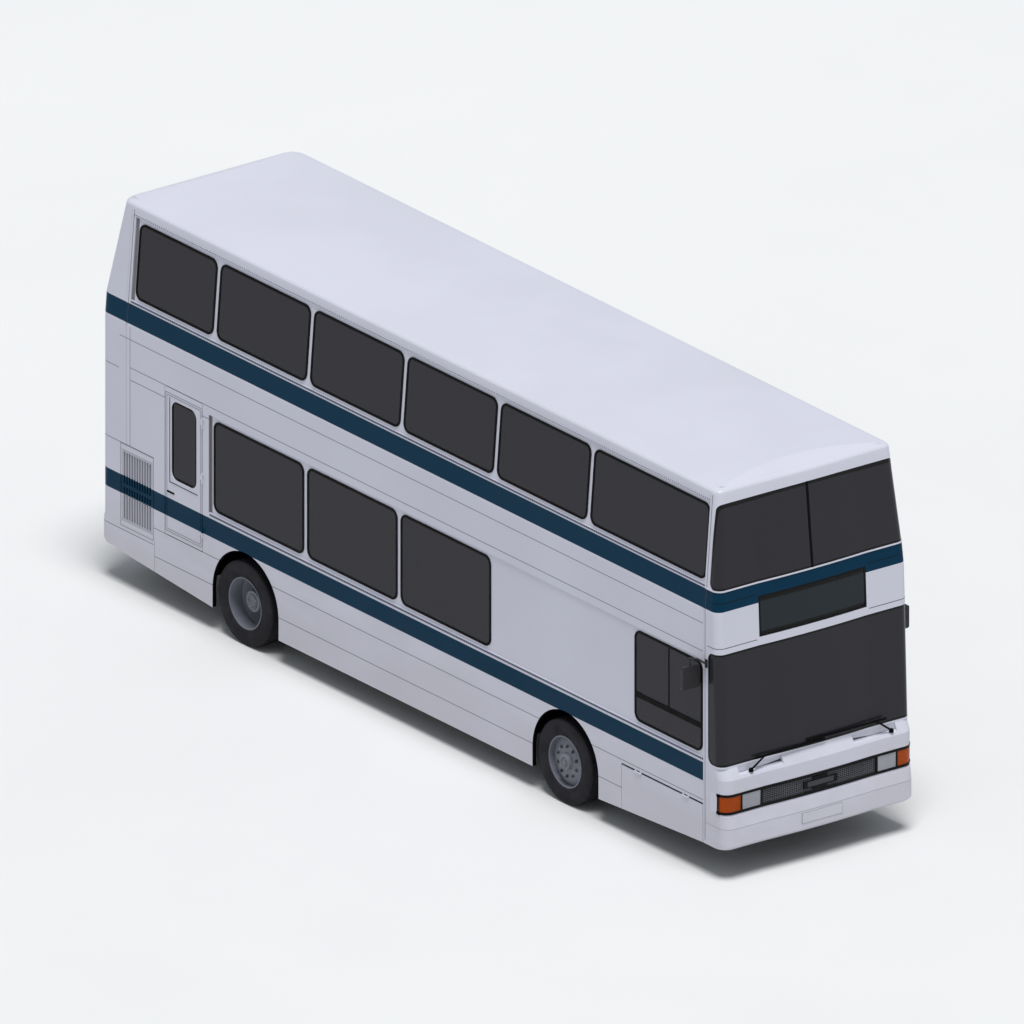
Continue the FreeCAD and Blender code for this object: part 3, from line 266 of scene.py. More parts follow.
@dataclass(frozen=True)
class Coachwork(Finish):
    """White body paint with the two blue stripes and the fine lines between panels.

    Attributes:
        low_stripe, high_stripe: lower and upper edges of the stripes under the windows.
        stripe_end: distance at which the lower stripe ends.
        levels, door_level: level lines, as (height, from, to).
        uprights: upright lines, as (distance, from, to).
        bumper_line, bumper_start: edges of the line round the bumper, and the distance where it begins.
        recess_end_shade, slat_shade: painted shade at the ends of the window recesses and over the louvre's slats, as
            (from, to, low, high).
        door_gap: where the emergency door interrupts the line beside it.
        arches: distances of the wheel arches' middles.
        arch: height of their middles, their radius, and how far out the wall's face is.
        line, upright: half the widths of level and upright lines.
    """

    stripe: Colour = (0.0025, 0.033, 0.070)
    low_stripe: Pair = (1.051, 1.259)
    high_stripe: Pair = (3.003, 3.223)
    stripe_end: float = 10.530
    levels: tuple[Triple, ...] = (
        (0.519, 0.980, 9.110), (0.645, -0.1, 0.964), (0.836, 0.966, 10.530), (1.623, -0.1, 0.964),
        (2.456, -0.1, 0.363), (2.512, 0.553, 10.530), (2.828, 0.372, 10.530),
    )
    uprights: tuple[Triple, ...] = (
        (0.486, 1.626, 2.974), (0.553, 1.626, 2.974), (0.463, 2.978, 4.262), (0.499, 2.978, 4.262),
        (10.528, 0.4, 4.262), (10.562, 0.4, 4.262), (0.98, 0.3, 0.69),
    )
    bumper_line: Pair = (0.593, 0.597)
    bumper_start: float = 10.560
    recess_end_shade: tuple[Quad, ...] = (
        (0.535, 0.583, 3.268, 4.180), (1.922, 1.970, 1.322, 2.418),
    )
    door_level: Triple = (2.372, 0.553, 1.925)
    door_gap: Pair = (1.160, 1.812)
    slat_shade: Quad = (0.408, 0.942, 0.745, 1.560)
    arches: Pair = (2.562, 8.130)
    arch: Triple = (0.487, 0.577, 1.2492)
    line: float = 0.0052
    upright: float = 0.003
    dust: Colour = (0.42, 0.38, 0.35)

    def zone(self, net: Net, x0: float, x1: float, z0: float, z1: float,
             soft_x: float = 0.001, soft_z: float = 0.0006) -> Value:
        """Mask of a rectangle in side view, with its edges softened a little."""
        along, _, height = net.axes()
        return net.span(along, Body.x(x0), Body.x(x1), soft_x) & net.span(height, z0, z1, soft_z)

    def offside(self, net: Net) -> Value:
        """Mask of the driver's half of the bus."""
        _, across, _ = net.axes()
        return 1 - net.ramp(across, -0.01, 0.01)

    def level(self, net: Net, height: float, start: float, end: float) -> Value:
        """Mask of one level line."""
        return self.zone(net, start, end, height - self.line, height + self.line, soft_z=0.001)

    def lines(self, net: Net) -> Value:
        """Mask of the lines between panels."""
        along, _, height = net.axes()
        start = Body.x(self.bumper_start)
        bumper = net.span(height, *self.bumper_line) & net.ramp(along, start, start + 0.002)
        levels = [self.level(net, *place) for place in self.levels]
        uprights = [self.zone(net, x - self.upright, x + self.upright, low, high) for x, low, high in self.uprights]
        open_side = 1 - net.span(along, Body.x(self.door_gap[0]), Body.x(self.door_gap[1]))
        beside_door = self.level(net, *self.door_level) & open_side & self.offside(net)
        return union([bumper, *levels, *uprights, beside_door])

    def stripes(self, net: Net) -> Value:
        """Mask of the two stripes."""
        along, _, height = net.axes()
        end = Body.x(self.stripe_end)
        low = net.span(height, *self.low_stripe) & (1 - net.ramp(along, end, end + 0.002))
        return low | net.span(height, *self.high_stripe)

    def inner_arches(self, net: Net) -> Value:
        """Mask of the walls' edges inside the wheel arches."""
        along, across, height = net.axes()
        middle, radius, face = self.arch
        up = (height - middle).math("MAXIMUM", 0.0)
        flats = [along - Body.x(x) for x in self.arches]
        holes = [1 - net.ramp((flat * flat + up * up).math("SQRT"), radius - 0.0005, radius) for flat in flats]
        return union(holes) & (1 - net.ramp(abs(across), face - 0.0004, face))

    def tint(self, net: Net) -> Value:
        """White, then road dust low down, painted shade at the recesses' ends and over the louvre, the stripes, the
        lines and black arches.
        """
        _, _, height = net.axes()
        dusty = net.ramp(net.noise(2.5, 5.0, (0.4, 1.0, 1.6)) - height * 0.55, -0.25, 0.35)
        paint = net.blend(dusty * 0.22, super().tint(net), self.dust)
        # Painted shade: the step faces at the ends of the window recesses, darkened in the paint.
        for end in self.recess_end_shade:
            paint = net.blend(self.zone(net, *end, soft_x=0.002), paint, (0.20, 0.19, 0.21))
        # Painted shade: the louvre's whole field darkened, standing in for the shade between its slats.
        slat_shade_mask = self.zone(net, *self.slat_shade, soft_x=0.002) & self.offside(net)
        paint = net.blend(slat_shade_mask * 0.4, paint, (0.22, 0.22, 0.25))
        paint = net.blend(self.stripes(net), paint, self.stripe)
        paint = net.blend(self.lines(net) * 0.7, paint, (0.11, 0.11, 0.14))
        return net.blend(self.inner_arches(net), paint, (0.004, 0.004, 0.004))

    def extras(self, net: Net) -> dict[str, Any]:
        """Lacquer on the white only; the stripes are matt film."""
        return {"Coat Weight": (1 - self.stripes(net)) * self.coat}

    def relief(self, net: Net) -> Value:
        """Lines pressed in, on panels that ripple very slightly."""
        return net.noise(1.1, 1.0) * 0.5 + (1 - self.lines(net))


@dataclass(frozen=True)
class TintedGlass(Finish):
    """Dark bonded glass; its printed black edge follows the outline of a screen.

    Attributes:
        screens: the panes of the front, as (distance of the rear end, sill, head).
        border: width of the printed edge.
        sign: colour of the unlit destination display.
        sign_band: heights between which the front glass belongs to the sign.
        display: heights of the display itself.
    """

    screens: tuple[Triple, ...] = ()
    radius: float = 0.11
    border: float = 0.024
    alpha: float = 0.93
    sign: Colour = (0.014, 0.022, 0.026)
    sign_band: Pair = (2.60, 3.10)
    display: Pair = (2.680, 3.014)

    def screen_edge(self, net: Net, start: float, sill: float, head: float) -> Value:
        """Mask of the printed edge of one screen."""
        along, _, height = net.axes()
        reach, middle = (head - sill) / 2 - self.radius, (sill + head) / 2
        across = (Body.x(start) + self.radius - along).math("MAXIMUM", 0.0)
        up = (abs(height - middle) - reach).math("MAXIMUM", 0.0)
        away = (across * across + up * up).math("SQRT")
        inner = self.radius - self.border
        return net.ramp(away, inner - 0.001, inner) & net.span(height, sill - 0.03, head + 0.03)

    def edge(self, net: Net) -> Value:
        """Mask of the printed edges."""
        return union(self.screen_edge(net, *screen) for screen in self.screens)

    def tint(self, net: Net) -> Value:
        """Smoke grey, black at the edge and round the display."""
        plain = super().tint(net)
        if not self.screens:
            return plain
        _, _, height = net.axes()
        plain = net.blend(net.span(height, *self.sign_band), plain, (0.0005, 0.0005, 0.0005))
        plain = net.blend(net.span(height, *self.display), plain, self.sign)
        return net.blend(self.edge(net), plain, (0.002, 0.002, 0.002))

    def extras(self, net: Net) -> dict[str, Any]:
        """Slightly see-through, except at the edge."""
        clear: Any = self.alpha
        if self.screens:
            clear = self.edge(net) * (1 - self.alpha) + self.alpha
        return {"Alpha": clear}


@dataclass(frozen=True)
class Lens(Finish):
    """Ribbed lamp lens that glows a little from its reflector."""

    ribs: float = 95.0
    glow: float = 0.10

    def relief(self, net: Net) -> Value:
        """Upright ribs across the lens, crossed by finer ones."""
        _, across, height = net.axes()
        upright = (across * self.ribs * 2 * math.pi).math("SINE")
        level = (height * self.ribs * math.pi).math("SINE")
        return upright * 0.6 + level * 0.25

    def extras(self, net: Net) -> dict[str, Any]:
        """The lens colour given back by the reflector."""
        return {"Emission Color": self.tint(net), "Emission Strength": self.glow}


@dataclass(frozen=True)
class Indicator(Lens):
    """Orange lens whose rear end, up to a distance, is painted as the body is."""

    start: float = 10.782
    paint: Colour = WHITE

    def lens(self, net: Net) -> Value:
        """Mask of the part that isn't painted."""
        along, _, _ = net.axes()
        return net.ramp(along, Body.x(self.start) - 0.001, Body.x(self.start))

    def tint(self, net: Net) -> Value:
        """Orange, with the paint behind it."""
        return net.blend(self.lens(net), self.paint, super().tint(net))

    def extras(self, net: Net) -> dict[str, Any]:
        """Glow of the lens alone."""
        glow = net.blend(self.lens(net), (0.0, 0.0, 0.0), self.colour)
        return {"Emission Color": glow, "Emission Strength": self.glow}


@dataclass(frozen=True)
class Moquette(Finish):
    """Short-pile seat cloth with a small woven fleck."""

    fleck: Colour = (0.16, 0.22, 0.30)
    thread: float = 900.0

    def tint(self, net: Net) -> Value:
        """Base cloth with flecks and worn patches."""
        flecks = net.ramp(net.noise(140.0, 1.0), 0.58, 0.63)
        return net.blend(flecks, super().tint(net), self.fleck)

    def relief(self, net: Net) -> Value:
        """Crossed threads."""
        along, across, height = net.axes()
        warp = ((along + height) * self.thread).math("SINE")
        weft = (across * self.thread).math("SINE")
        return warp * weft * 0.5 + 0.5

    def extras(self, net: Net) -> dict[str, Any]:
        """Soft sheen of the pile."""
        return {"Sheen Weight": 0.35, "Sheen Roughness": 0.5}


@dataclass(frozen=True)
class TyreRubber(Finish):
    """Black tyre rubber."""

    def relief(self, net: Net) -> Value:
        """Fine mould texture."""
        return net.noise(240.0, 2.0) * 0.5


@dataclass(frozen=True)
class StudFloor(Finish):
    """Ribbed non-slip flooring."""

    pitch: float = 0.02

    def relief(self, net: Net) -> Value:
        """Ribs that run along the bus."""
        _, across, _ = net.axes()
        return (across * (2 * math.pi / self.pitch)).math("SINE")


@dataclass(frozen=True)
class DottedTrim(Finish):
    """Painted strip with a row of small dark slots."""

    pitch: float = 0.036

    def tint(self, net: Net) -> Value:
        """Short dark dashes along the strip."""
        along, _, _ = net.axes()
        dash = net.ramp((along * (2 * math.pi / self.pitch)).math("SINE"), -0.1, 0.1)
        return net.blend(dash * 0.9, super().tint(net), (0.02, 0.03, 0.05))


class Look(Enum):
    """Finishes of the bus."""

    COACHWORK = Coachwork("coachwork", WHITE, 0.965, 0.42, coat=0.12, grain=1.0, depth=0.0012, patch=0.7, shine=0.05)
    PLAIN_WHITE = Finish("white_trim", WHITE, 0.95, 0.38, coat=0.2, shine=0.2)
    # Painted shade: the body's paint and stripe made darker for the door mouldings, the louvre frame and the plate
    # frame.
    MOULDING = Coachwork("moulding_painted_shade", (0.30, 0.30, 0.36), 0.95, 0.45, depth=0.0, shine=0.05,
                         stripe=(0.002, 0.018, 0.04))
    GUTTER = DottedTrim("gutter_trim", WHITE, 0.95, 0.4, shine=0.2)
    LEDGE = DottedTrim("ledge_trim", (0.16, 0.18, 0.27), 0.9, 0.40, shine=0.2)
    SCREEN = TintedGlass("screen_glass", (0.026, 0.025, 0.032), 0.985, 0.2, depth=0.0, shine=0.2,
                         screens=((10.610, 1.277, 2.532), (10.610, 3.235, 4.177)))
    GLASS = TintedGlass("side_glass", (0.0205, 0.0195, 0.0265), 0.985, 0.2, depth=0.0, shine=0.2)
    BLACK_RUBBER = Finish("black_rubber", (0.0022, 0.0022, 0.0025), 0.8, 0.6, grain=200.0, shine=0.08)
    BLACK_PLASTIC = Finish("black_plastic", (0.0045, 0.0045, 0.005), 0.8, 0.5, grain=300.0, shine=0.12)
    GRILLE = Finish("grille_plastic", (0.13, 0.135, 0.15), 0.8, 0.45, grain=300.0, shine=0.3)
    WIPER = Finish("wiper_black", (0.003, 0.003, 0.003), 0.9, 0.5, shine=0.05)
    BADGE = Finish("badge_blank", (0.040, 0.040, 0.046), 0.85, 0.4, shine=0.3)
    MIRROR_SHELL = Finish("mirror_shell", (0.034, 0.033, 0.036), 0.85, 0.5, grain=300.0, shine=0.2)
    DARK_ARCH = Finish("arch_black", (0.006, 0.006, 0.006), 0.8, 0.8, shine=0.1)
    TYRE = TyreRubber("tyre_rubber", (0.026, 0.025, 0.030), 0.72, 0.82, patch=5.0, depth=0.0006, shine=0.15)
    WHEEL = Finish("wheel_paint", (0.205, 0.213, 0.255), 0.88, 0.5, patch=4.0, shine=0.25)
    WHEEL_NUT = Finish("nut_steel", (0.17, 0.175, 0.20), 0.7, 0.42, metallic=0.55, patch=9.0)
    SEAT_SHELL = Finish("seat_shell", (0.045, 0.047, 0.052), 0.85, 0.5, grain=220.0)
    STEEL = Finish("bare_steel", (0.34, 0.34, 0.35), 0.7, 0.38, metallic=0.8, patch=6.0)
    CAST = Finish("cast_black", (0.020, 0.020, 0.021), 0.6, 0.68, grain=140.0, depth=0.001, patch=4.0)
    CLEAR_LENS = Lens("clear_lens", (0.34, 0.35, 0.39), 0.8, 0.2, coat=0.1, depth=0.0016, shine=0.3)
    ORANGE_LENS = Indicator("orange_lens", (0.36, 0.056, 0.0015), 0.85, 0.3, depth=0.0016, shine=0.12)
    TURN_LENS = Lens("turn_lens", (0.36, 0.056, 0.0015), 0.85, 0.3, depth=0.0016, shine=0.12)
    RED_LENS = Lens("red_lens", (0.36, 0.006, 0.004), 0.8, 0.3, depth=0.0016, shine=0.15)
    FLOOR = StudFloor("ribbed_floor", (0.085, 0.088, 0.095), 0.75, 0.7, depth=0.001)
    LAMINATE = Finish("interior_laminate", (0.30, 0.31, 0.33), 0.9, 0.45, grain=120.0)
    CLOTH = Moquette("seat_moquette", (0.035, 0.055, 0.11), 0.8, 0.85, depth=0.0008)
    RAIL = Finish("rail_yellow", (0.55, 0.33, 0.02), 0.9, 0.35, coat=0.4)
    MIRROR = Finish("mirror_glass", (0.55, 0.56, 0.58), 0.95, 0.08, metallic=0.9, depth=0.0)
    PLATE = Finish("blank_plate", (0.58, 0.58, 0.64), 0.96, 0.4, coat=0.2)

    @property
    def material(self) -> bpy.types.Material:
        """The finish's material, made once."""
        return bpy.data.materials.get(self.value.name) or self.value.build()


# Shapes


class Body:
    """Sizes that the whole bus shares, and the way from them to the frame."""

    rear: float = CAD_LOW.x
    half: float = 1.250
    lean_start: float = 2.976
    lean: float = 0.079

    @classmethod
    def x(cls, distance: float) -> float:
        """Place along the bus of a distance from its rearmost face."""
        return cls.rear + distance

    @classmethod
    def width(cls, height: float) -> float:
        """Half the body's width at a height."""
        return cls.half - cls.lean * max(0.0, height - cls.lean_start)

    @classmethod
    def wall(cls, side: int, upper: bool, depth: float = 0.0) -> Matrix:
        """Matrix from (distance, outwards, height) to a side wall.

        Args:
            side: 1 for the nearside, -1 for the offside.
            upper: whether the wall leans as the upper deck's does.
            depth: how far the zero of outwards lies behind the wall's outer face.

        Returns:
            The matrix.
        """
        lean = cls.lean if upper else 0.0
        offset = cls.half + lean * cls.lean_start - depth
        return Matrix(((1, 0, 0, cls.rear), (0, side, -side * lean, side * offset), (0, 0, 1, 0), (0, 0, 0, 1)))


class Front:
    """Shape of the front wall, as the parts have it."""

    bow: float = 0.020
    bow_half: float = 0.700
    corner: float = 0.095
    panel_corner: float = 0.130
    levels: tuple[Pair, ...] = (
        (0.735, 10.905), (1.136, 10.912), (1.255, 10.850), (2.532, 10.805), (2.976, 10.785), (3.235, 10.772),
        (4.270, 10.660),
    )

    @classmethod
    def nose(cls, height: float) -> float:
        """Foremost distance of the front wall at a height."""
        for (z0, x0), (z1, x1) in zip(cls.levels, cls.levels[1:]):
            if height <= z1:
                return x0 + (x1 - x0) * (height - z0) / (z1 - z0)
        return cls.levels[-1][1]


def placed(name: str, data: Any) -> bpy.types.Object:
    """Object of the scene with the given data."""
    made = bpy.data.objects.new(name, data)
    bpy.context.scene.collection.objects.link(made)
    return made


def mirrored(side: int, *places: float) -> list[float]:
    """Places on one side of the centre line, in rising order."""
    return sorted(side * place for place in places)


class Shape:
    """Mesh under construction."""

    def __init__(self) -> None:
        """Starts empty."""
        self.bm = bmesh.new()

    def block(self, low: Sequence[float], high: Sequence[float], bevel: float,
              segments: int = 2, place: Matrix | None = None) -> None:
        """Adds a block with softened edges.

        Args:
            low: lowest corner.
            high: highest corner.
            bevel: width of the softened edges.
            segments: faces across each softened edge.
            place: matrix that puts the block in its place.
        """
        centre = (Vector(low) + Vector(high)) / 2
        size = Vector(high) - Vector(low)
        fit = Matrix.Translation(centre) @ Matrix.Diagonal((*size, 1.0))
        made = bmesh.ops.create_cube(self.bm, size=1.0, matrix=fit)["verts"]
        edges = list({e for v in made for e in v.link_edges})
        softened = bmesh.ops.bevel(self.bm, geom=edges, offset=bevel, segments=segments, profile=0.5,
                                   affect="EDGES", material=-1, clamp_overlap=True)["verts"]
        if place:
            made = list(dict.fromkeys([*softened, *(v for v in made if v.is_valid)]))
            bmesh.ops.transform(self.bm, matrix=place, verts=made)

    def strip(self, x0: float, x1: float, z0: float, z1: float, proud: float, bevel: float,
              wall: Matrix, sink: float = 0.002) -> None:
        """Adds a flat strip on a side wall, from distances and heights."""
        self.block((x0, -sink, z0), (x1, proud, z1), bevel, 2, wall)

    def disc(self, centre: Sequence[float], radius: float, depth: float, axis: Sequence[float],
             sides: int = 24, top: float | None = None) -> None:
        """Adds a round boss, bolt or post, tapered where a top radius is given."""
        turn = Vector((0, 0, 1)).rotation_difference(Vector(axis)).to_matrix().to_4x4()
        bmesh.ops.create_cone(self.bm, cap_ends=True, segments=sides, radius1=radius, depth=depth,
                              radius2=radius if top is None else top, matrix=Matrix.Translation(centre) @ turn)

    def ring(self, x0: float, x1: float, z0: float, z1: float, radius: float, width: float,
             height: float, place: Matrix) -> None:
        """Adds a rounded rectangular frame in side view.

        Args:
            x0: rear edge, as a distance.
            x1: front edge.
            z0: lower edge.
            z1: upper edge.
            radius: corner radius.
            width: width of the frame, inwards.
            height: how far it stands outwards from zero.
            place: matrix that puts it on its wall.
        """
        flat = Matrix.Rotation(math.pi / 2, 4, "X")
        fit = Matrix.Translation(((x0 + x1) / 2, 0, (z0 + z1) / 2)) @ Matrix.Diagonal((x1 - x0, 1, z1 - z0, 1)) @ flat
        corners = bmesh.ops.create_grid(self.bm, x_segments=1, y_segments=1, size=0.5, matrix=fit)["verts"]
        rounded = bmesh.ops.bevel(self.bm, geom=corners, offset=radius, segments=7, profile=0.5,
                                  affect="VERTICES", material=-1)["verts"]
        face = rounded[0].link_faces[0]
        band = bmesh.ops.inset_region(self.bm, faces=[face], use_boundary=True, thickness=width,
                                      use_even_offset=True)["faces"]
        bmesh.ops.delete(self.bm, geom=[face], context="FACES_ONLY")
        raised = bmesh.ops.extrude_face_region(self.bm, geom=band, use_keep_orig=True)["geom"]
        top = [g for g in raised if isinstance(g, bmesh.types.BMVert)]
        bmesh.ops.translate(self.bm, verts=top, vec=(0, height, 0))
        verts = list({v for f in band for v in f.verts} | set(top))
        bmesh.ops.transform(self.bm, matrix=place, verts=verts)

    def wrap(self, side: int, low: float, high: float, proud: float, sink: float, start: float,
             end_y: float, radius: float) -> None:
        """Adds a strip that runs from a side wall round the front corner.

        Args:
            side: 1 for the nearside, -1 for the offside.
            low: lower edge of the strip.
            high: upper edge.
            proud: how far it stands out of the wall.
            sink: how far it reaches into the wall.
            start: distance at which it begins on the side.
            end_y: distance from the centre line at which it ends on the front.
            radius: radius of the wall's corner.
        """
        middle = (low + high) / 2
        nose, width = Front.nose(middle) - Front.bow, Body.width(middle)
        turn = nose - radius
        size = Matrix.Diagonal((1, proud + sink, high - low, 1)) @ Matrix.Rotation(math.pi / 2, 4, "Y")
        at = Matrix.Translation((Body.x(start), side * (width + (proud - sink) / 2), middle))
        first = bmesh.ops.create_grid(self.bm, x_segments=1, y_segments=1, size=0.5, matrix=at @ size)["verts"]
        section = self.drawn([first[0].link_faces[0]], (turn - start, 0, 0))
        geom = section + list({e for f in section for e in f.edges}) + list({v for f in section for v in f.verts})
        turned = bmesh.ops.spin(self.bm, geom=geom, cent=(Body.x(turn), side * (width - radius), middle),
                                axis=(0, 0, 1), angle=-side * math.pi / 2, steps=8, use_duplicate=False)["geom_last"]
        section = [g for g in turned if isinstance(g, bmesh.types.BMFace)]
        flat_end = max(end_y, Front.bow_half)
        section = self.drawn(section, (0, -side * (width - radius - flat_end), 0))
        steps = 6 if end_y < Front.bow_half else 0
        for step in range(steps):
            y0 = flat_end - (flat_end - end_y) * step / steps
            y1 = flat_end - (flat_end - end_y) * (step + 1) / steps
            rise = Front.bow * ((y0 / Front.bow_half) ** 2 - (y1 / Front.bow_half) ** 2)
            section = self.drawn(section, (rise, -side * (y0 - y1), 0))
        bmesh.ops.holes_fill(self.bm, edges=[e for e in self.bm.edges if e.is_boundary], sides=4)

    def drawn(self, faces: list[Any], vector: Sequence[float]) -> list[Any]:
        """Extrudes faces along a vector and returns the faces at the far end."""
        result = bmesh.ops.extrude_face_region(self.bm, geom=faces)["geom"]
        far = [g for g in result if isinstance(g, bmesh.types.BMFace)]
        bmesh.ops.translate(self.bm, verts=[g for g in result if isinstance(g, bmesh.types.BMVert)], vec=vector)
        return far

    def turned(self, outline: Sequence[Pair], centre: Sequence[float], steps: int = 72) -> None:
        """Adds a shape turned about the line along y through a centre.

        Args:
            outline: (radius, y) points of its closed section.
            centre: a point on the line; its y is added to the outline's.
            steps: faces round the turn.
        """
        x, y, z = centre
        verts = [self.bm.verts.new((x, y + along, z + radius)) for radius, along in outline]
        edges = [self.bm.edges.new((a, b)) for a, b in zip(verts, verts[1:] + verts[:1])]
        bmesh.ops.spin(self.bm, geom=verts + edges, cent=(x, y, z), axis=(0, 1, 0),
                       angle=2 * math.pi, steps=steps, use_merge=True, use_duplicate=False)

    def finished(self, name: str) -> bpy.types.Object:
        """Turns the mesh into an object of the scene."""
        mesh = bpy.data.meshes.new(name)
        self.bm.to_mesh(mesh)
        self.bm.free()
        return placed(name, mesh)

    def piece(self, name: str, look: Look, slot: str, body: str = "body_shell",
              smooth: bool = False) -> bpy.types.Object:
        """Turns the mesh into a piece of the bus.

        Args:
            name: its name.
            look: its finish.
            slot: not used.
            body: the body that it rides on.
            smooth: whether it is shaded smooth between its sharp edges.

        Returns:
            The finished object.
        """
        bmesh.ops.recalc_face_normals(self.bm, faces=self.bm.faces)
        made = self.finished(name)
        if smooth:
            made.data.shade_smooth()
            made.data.set_sharp_from_angle(angle=math.radians(38))
        made.data.materials.append(look.material)
        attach(made, body)
        log.info("%s: %d faces on %s", name, len(made.data.polygons), body)
        return made


# Pieces


@dataclass
class Glazing:
    """Black rubber round the side windows, bars of the cab window, ledges and drain strips.

    Attributes:
        bay: distance from one window to the next.
        lower_start, upper_start: distances of the regular rows' rear ends.
        upper_first, upper_last, cab: rear and front ends of the other windows.
        glass_depth: how far the glass lies behind the wall's face.
        stand: how far the rubber stands out from the glass.
        bar: heights of the cab window's level bar.
        divider: distance of its upright bar, and half that bar's width.
        ends: distances between which the gutters run; the ledges end at the front one.
        ledges_at: the ledges, as (height, whether on the upper deck, distance of the rear end).
        ledge: how far a ledge stands out, and its height.
        doorway: distance of the entrance's rear end.
        covers: strips over joints, as (from, to, low, high, proud, bevel, whether on the upper deck).
    """

    bay: float = 1.626
    width: float = 1.569
    lower_start: float = 2.000
    lower_sill: float = 1.355
    lower_head: float = 2.383
    upper_sill: float = 3.301
    upper_head: float = 4.144
    upper_first: Pair = (0.600, 1.952)
    upper_start: float = 2.008
    upper_last: Pair = (8.512, 10.530)
    cab: Pair = (9.325, 10.505)
    corner: float = 0.100
    rubber: float = 0.026
    glass_depth: float = 0.0085
    stand: float = 0.0055
    bar: Pair = (1.623, 1.688)
    divider: Pair = (9.920, 0.008)
    ends: Pair = (0.482, 10.530)
    ledges_at: tuple[tuple[float, bool, float], ...] = ((1.286, False, 1.935), (3.240, True, 0.540))
    ledge: Pair = (0.004, 0.020)
    doorway: float = 9.015
    gutter: Pair = (4.196, 4.206)
    covers: tuple[tuple[float, float, float, float, float, float, bool], ...] = (
        (0.488, 0.551, 1.630, 2.974, 0.002, 0.0015, False), (0.464, 0.498, 2.978, 4.262, 0.004, 0.003, True),
        (10.529, 10.561, 0.400, 2.974, 0.004, 0.003, False), (10.529, 10.561, 2.978, 4.262, 0.004, 0.003, True),
    )

    def row(self, start: float, count: int) -> list[Pair]:
        """Rear and front ends of windows that stand one bay apart."""
        return [(start + self.bay * i, start + self.bay * i + self.width) for i in range(count)]

    def rubber_frames(self, side: int) -> None:
        """Adds the frames of one side."""
        shape = Shape()
        lower, upper = Body.wall(side, False, self.glass_depth), Body.wall(side, True, self.glass_depth)
        lower_row = self.row(self.lower_start, 4) if side > 0 else [*self.row(self.lower_start, 3), self.cab]
        for x0, x1 in lower_row:
            shape.ring(x0, x1, self.lower_sill, self.lower_head, self.corner, self.rubber, self.stand, lower)
        for x0, x1 in [self.upper_first, *self.row(self.upper_start, 4), self.upper_last]:
            shape.ring(x0, x1, self.upper_sill, self.upper_head, self.corner, self.rubber, self.stand, upper)
        if side < 0:
            self.cab_bars(shape, lower)
        name = "nearside" if side > 0 else "offside"
        shape.piece(f"window_rubbers_{name}", Look.BLACK_RUBBER, "black_trim")

    def cab_bars(self, shape: Shape, wall: Matrix) -> None:
        """Adds the level and the upright bar of the cab window."""
        inner = self.rubber * 0.8
        low, high = self.bar
        middle, half = self.divider
        shape.strip(self.cab[0] + inner, self.cab[1] - inner, low, high, self.stand, 0.003, wall, 0.0)
        shape.strip(middle - half, middle + half, high, self.lower_head - inner, self.stand, 0.002, wall, 0.0)

    def trims(self) -> None:
        """Adds ledges, gutters and the cover strips at the body's corners, each kind in one piece."""
        ledges, gutters, covers = Shape(), Shape(), Shape()
        proud, height = self.ledge
        for side in (-1, 1):
            for z, upper, start in self.ledges_at:
                end = self.doorway if side > 0 and not upper else self.ends[1]
                ledges.strip(start, end, z, z + height, proud, 0.003, Body.wall(side, upper))
            gutters.strip(*self.ends, *self.gutter, 0.005, 0.002, Body.wall(side, True))
            for *place, upper in self.covers:
                covers.strip(*place, Body.wall(side, upper))
        ledges.piece("window_ledges", Look.LEDGE, "body_white")
        gutters.piece("gutter_strips", Look.GUTTER, "body_white")
        covers.piece("corner_strips", Look.COACHWORK, "body_white")

    def build(self) -> None:
        """Builds all of it."""
        self.rubber_frames(-1)
        self.rubber_frames(1)
        self.trims()


@dataclass
class EmergencyDoor:
    """Mouldings, beads, rubber and handle of the emergency door, and the louvre's frame behind it.

    Attributes:
        ends, heights: the rectangle in which the mouldings lie.
        insets: how far the two mouldings stand in from it.
        louvre, window: rectangles, as (from, to, low, high).
        bead: how far the beads stand behind and below the window, and their width.
        handle: distance and height of the handle.
    """

    ends: Pair = (1.160, 1.812)
    heights: Pair = (0.876, 2.453)
    insets: Pair = (0.004, 0.030)
    louvre: Quad = (0.386, 0.964, 0.688, 1.623)
    window: Quad = (1.275, 1.708, 1.493, 2.380)
    bead: Triple = (0.034, 0.050, 0.008)
    handle: Pair = (1.264, 1.331)
    body: str = "exit_door"

    def build(self) -> None:
        """Builds its pieces, those on the door apart from those on the body."""
        wall = Body.wall(-1, False)
        louvre, door, beads, rubber = Shape(), Shape(), Shape(), Shape()
        louvre.ring(*self.louvre, 0.008, 0.008, 0.002, wall)
        louvre.piece("louvre_frame", Look.MOULDING, "body_white")
        (x0, x1), (z0, z1) = self.ends, self.heights
        for inset in self.insets:
            door.ring(x0 + inset, x1 - inset, z0 + inset, z1 - inset, 0.012, 0.007, 0.002, wall)
        door.piece("emergency_door_mouldings", Look.MOULDING, "body_white", self.body)
        x0, x1, z0, z1 = self.window
        behind, below, width = self.bead
        beads.strip(x0 - behind, x0 - behind + width, z0 - below, z1 + 0.02, 0.004, 0.002, wall, 0.001)
        beads.strip(x0 - behind, x1 + 0.02, z0 - below, z0 - below + width, 0.004, 0.002, wall, 0.001)
        beads.piece("emergency_door_beads", Look.BLACK_PLASTIC, "black_trim", self.body)
        depth = Body.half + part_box("emergency_door_glass")[0].y
        rubber.ring(x0, x1, z0, z1, 0.07, 0.024, 0.004, Body.wall(-1, False, depth + 0.0005))
        x, z = self.handle
        rubber.strip(x - 0.066, x + 0.060, z - 0.012, z + 0.012, 0.002, 0.004, wall)
        rubber.strip(x - 0.058, x + 0.050, z - 0.006, z + 0.006, 0.009, 0.003, wall, -0.002)
        rubber.piece("emergency_door_rubber", Look.BLACK_RUBBER, "black_trim", self.body)


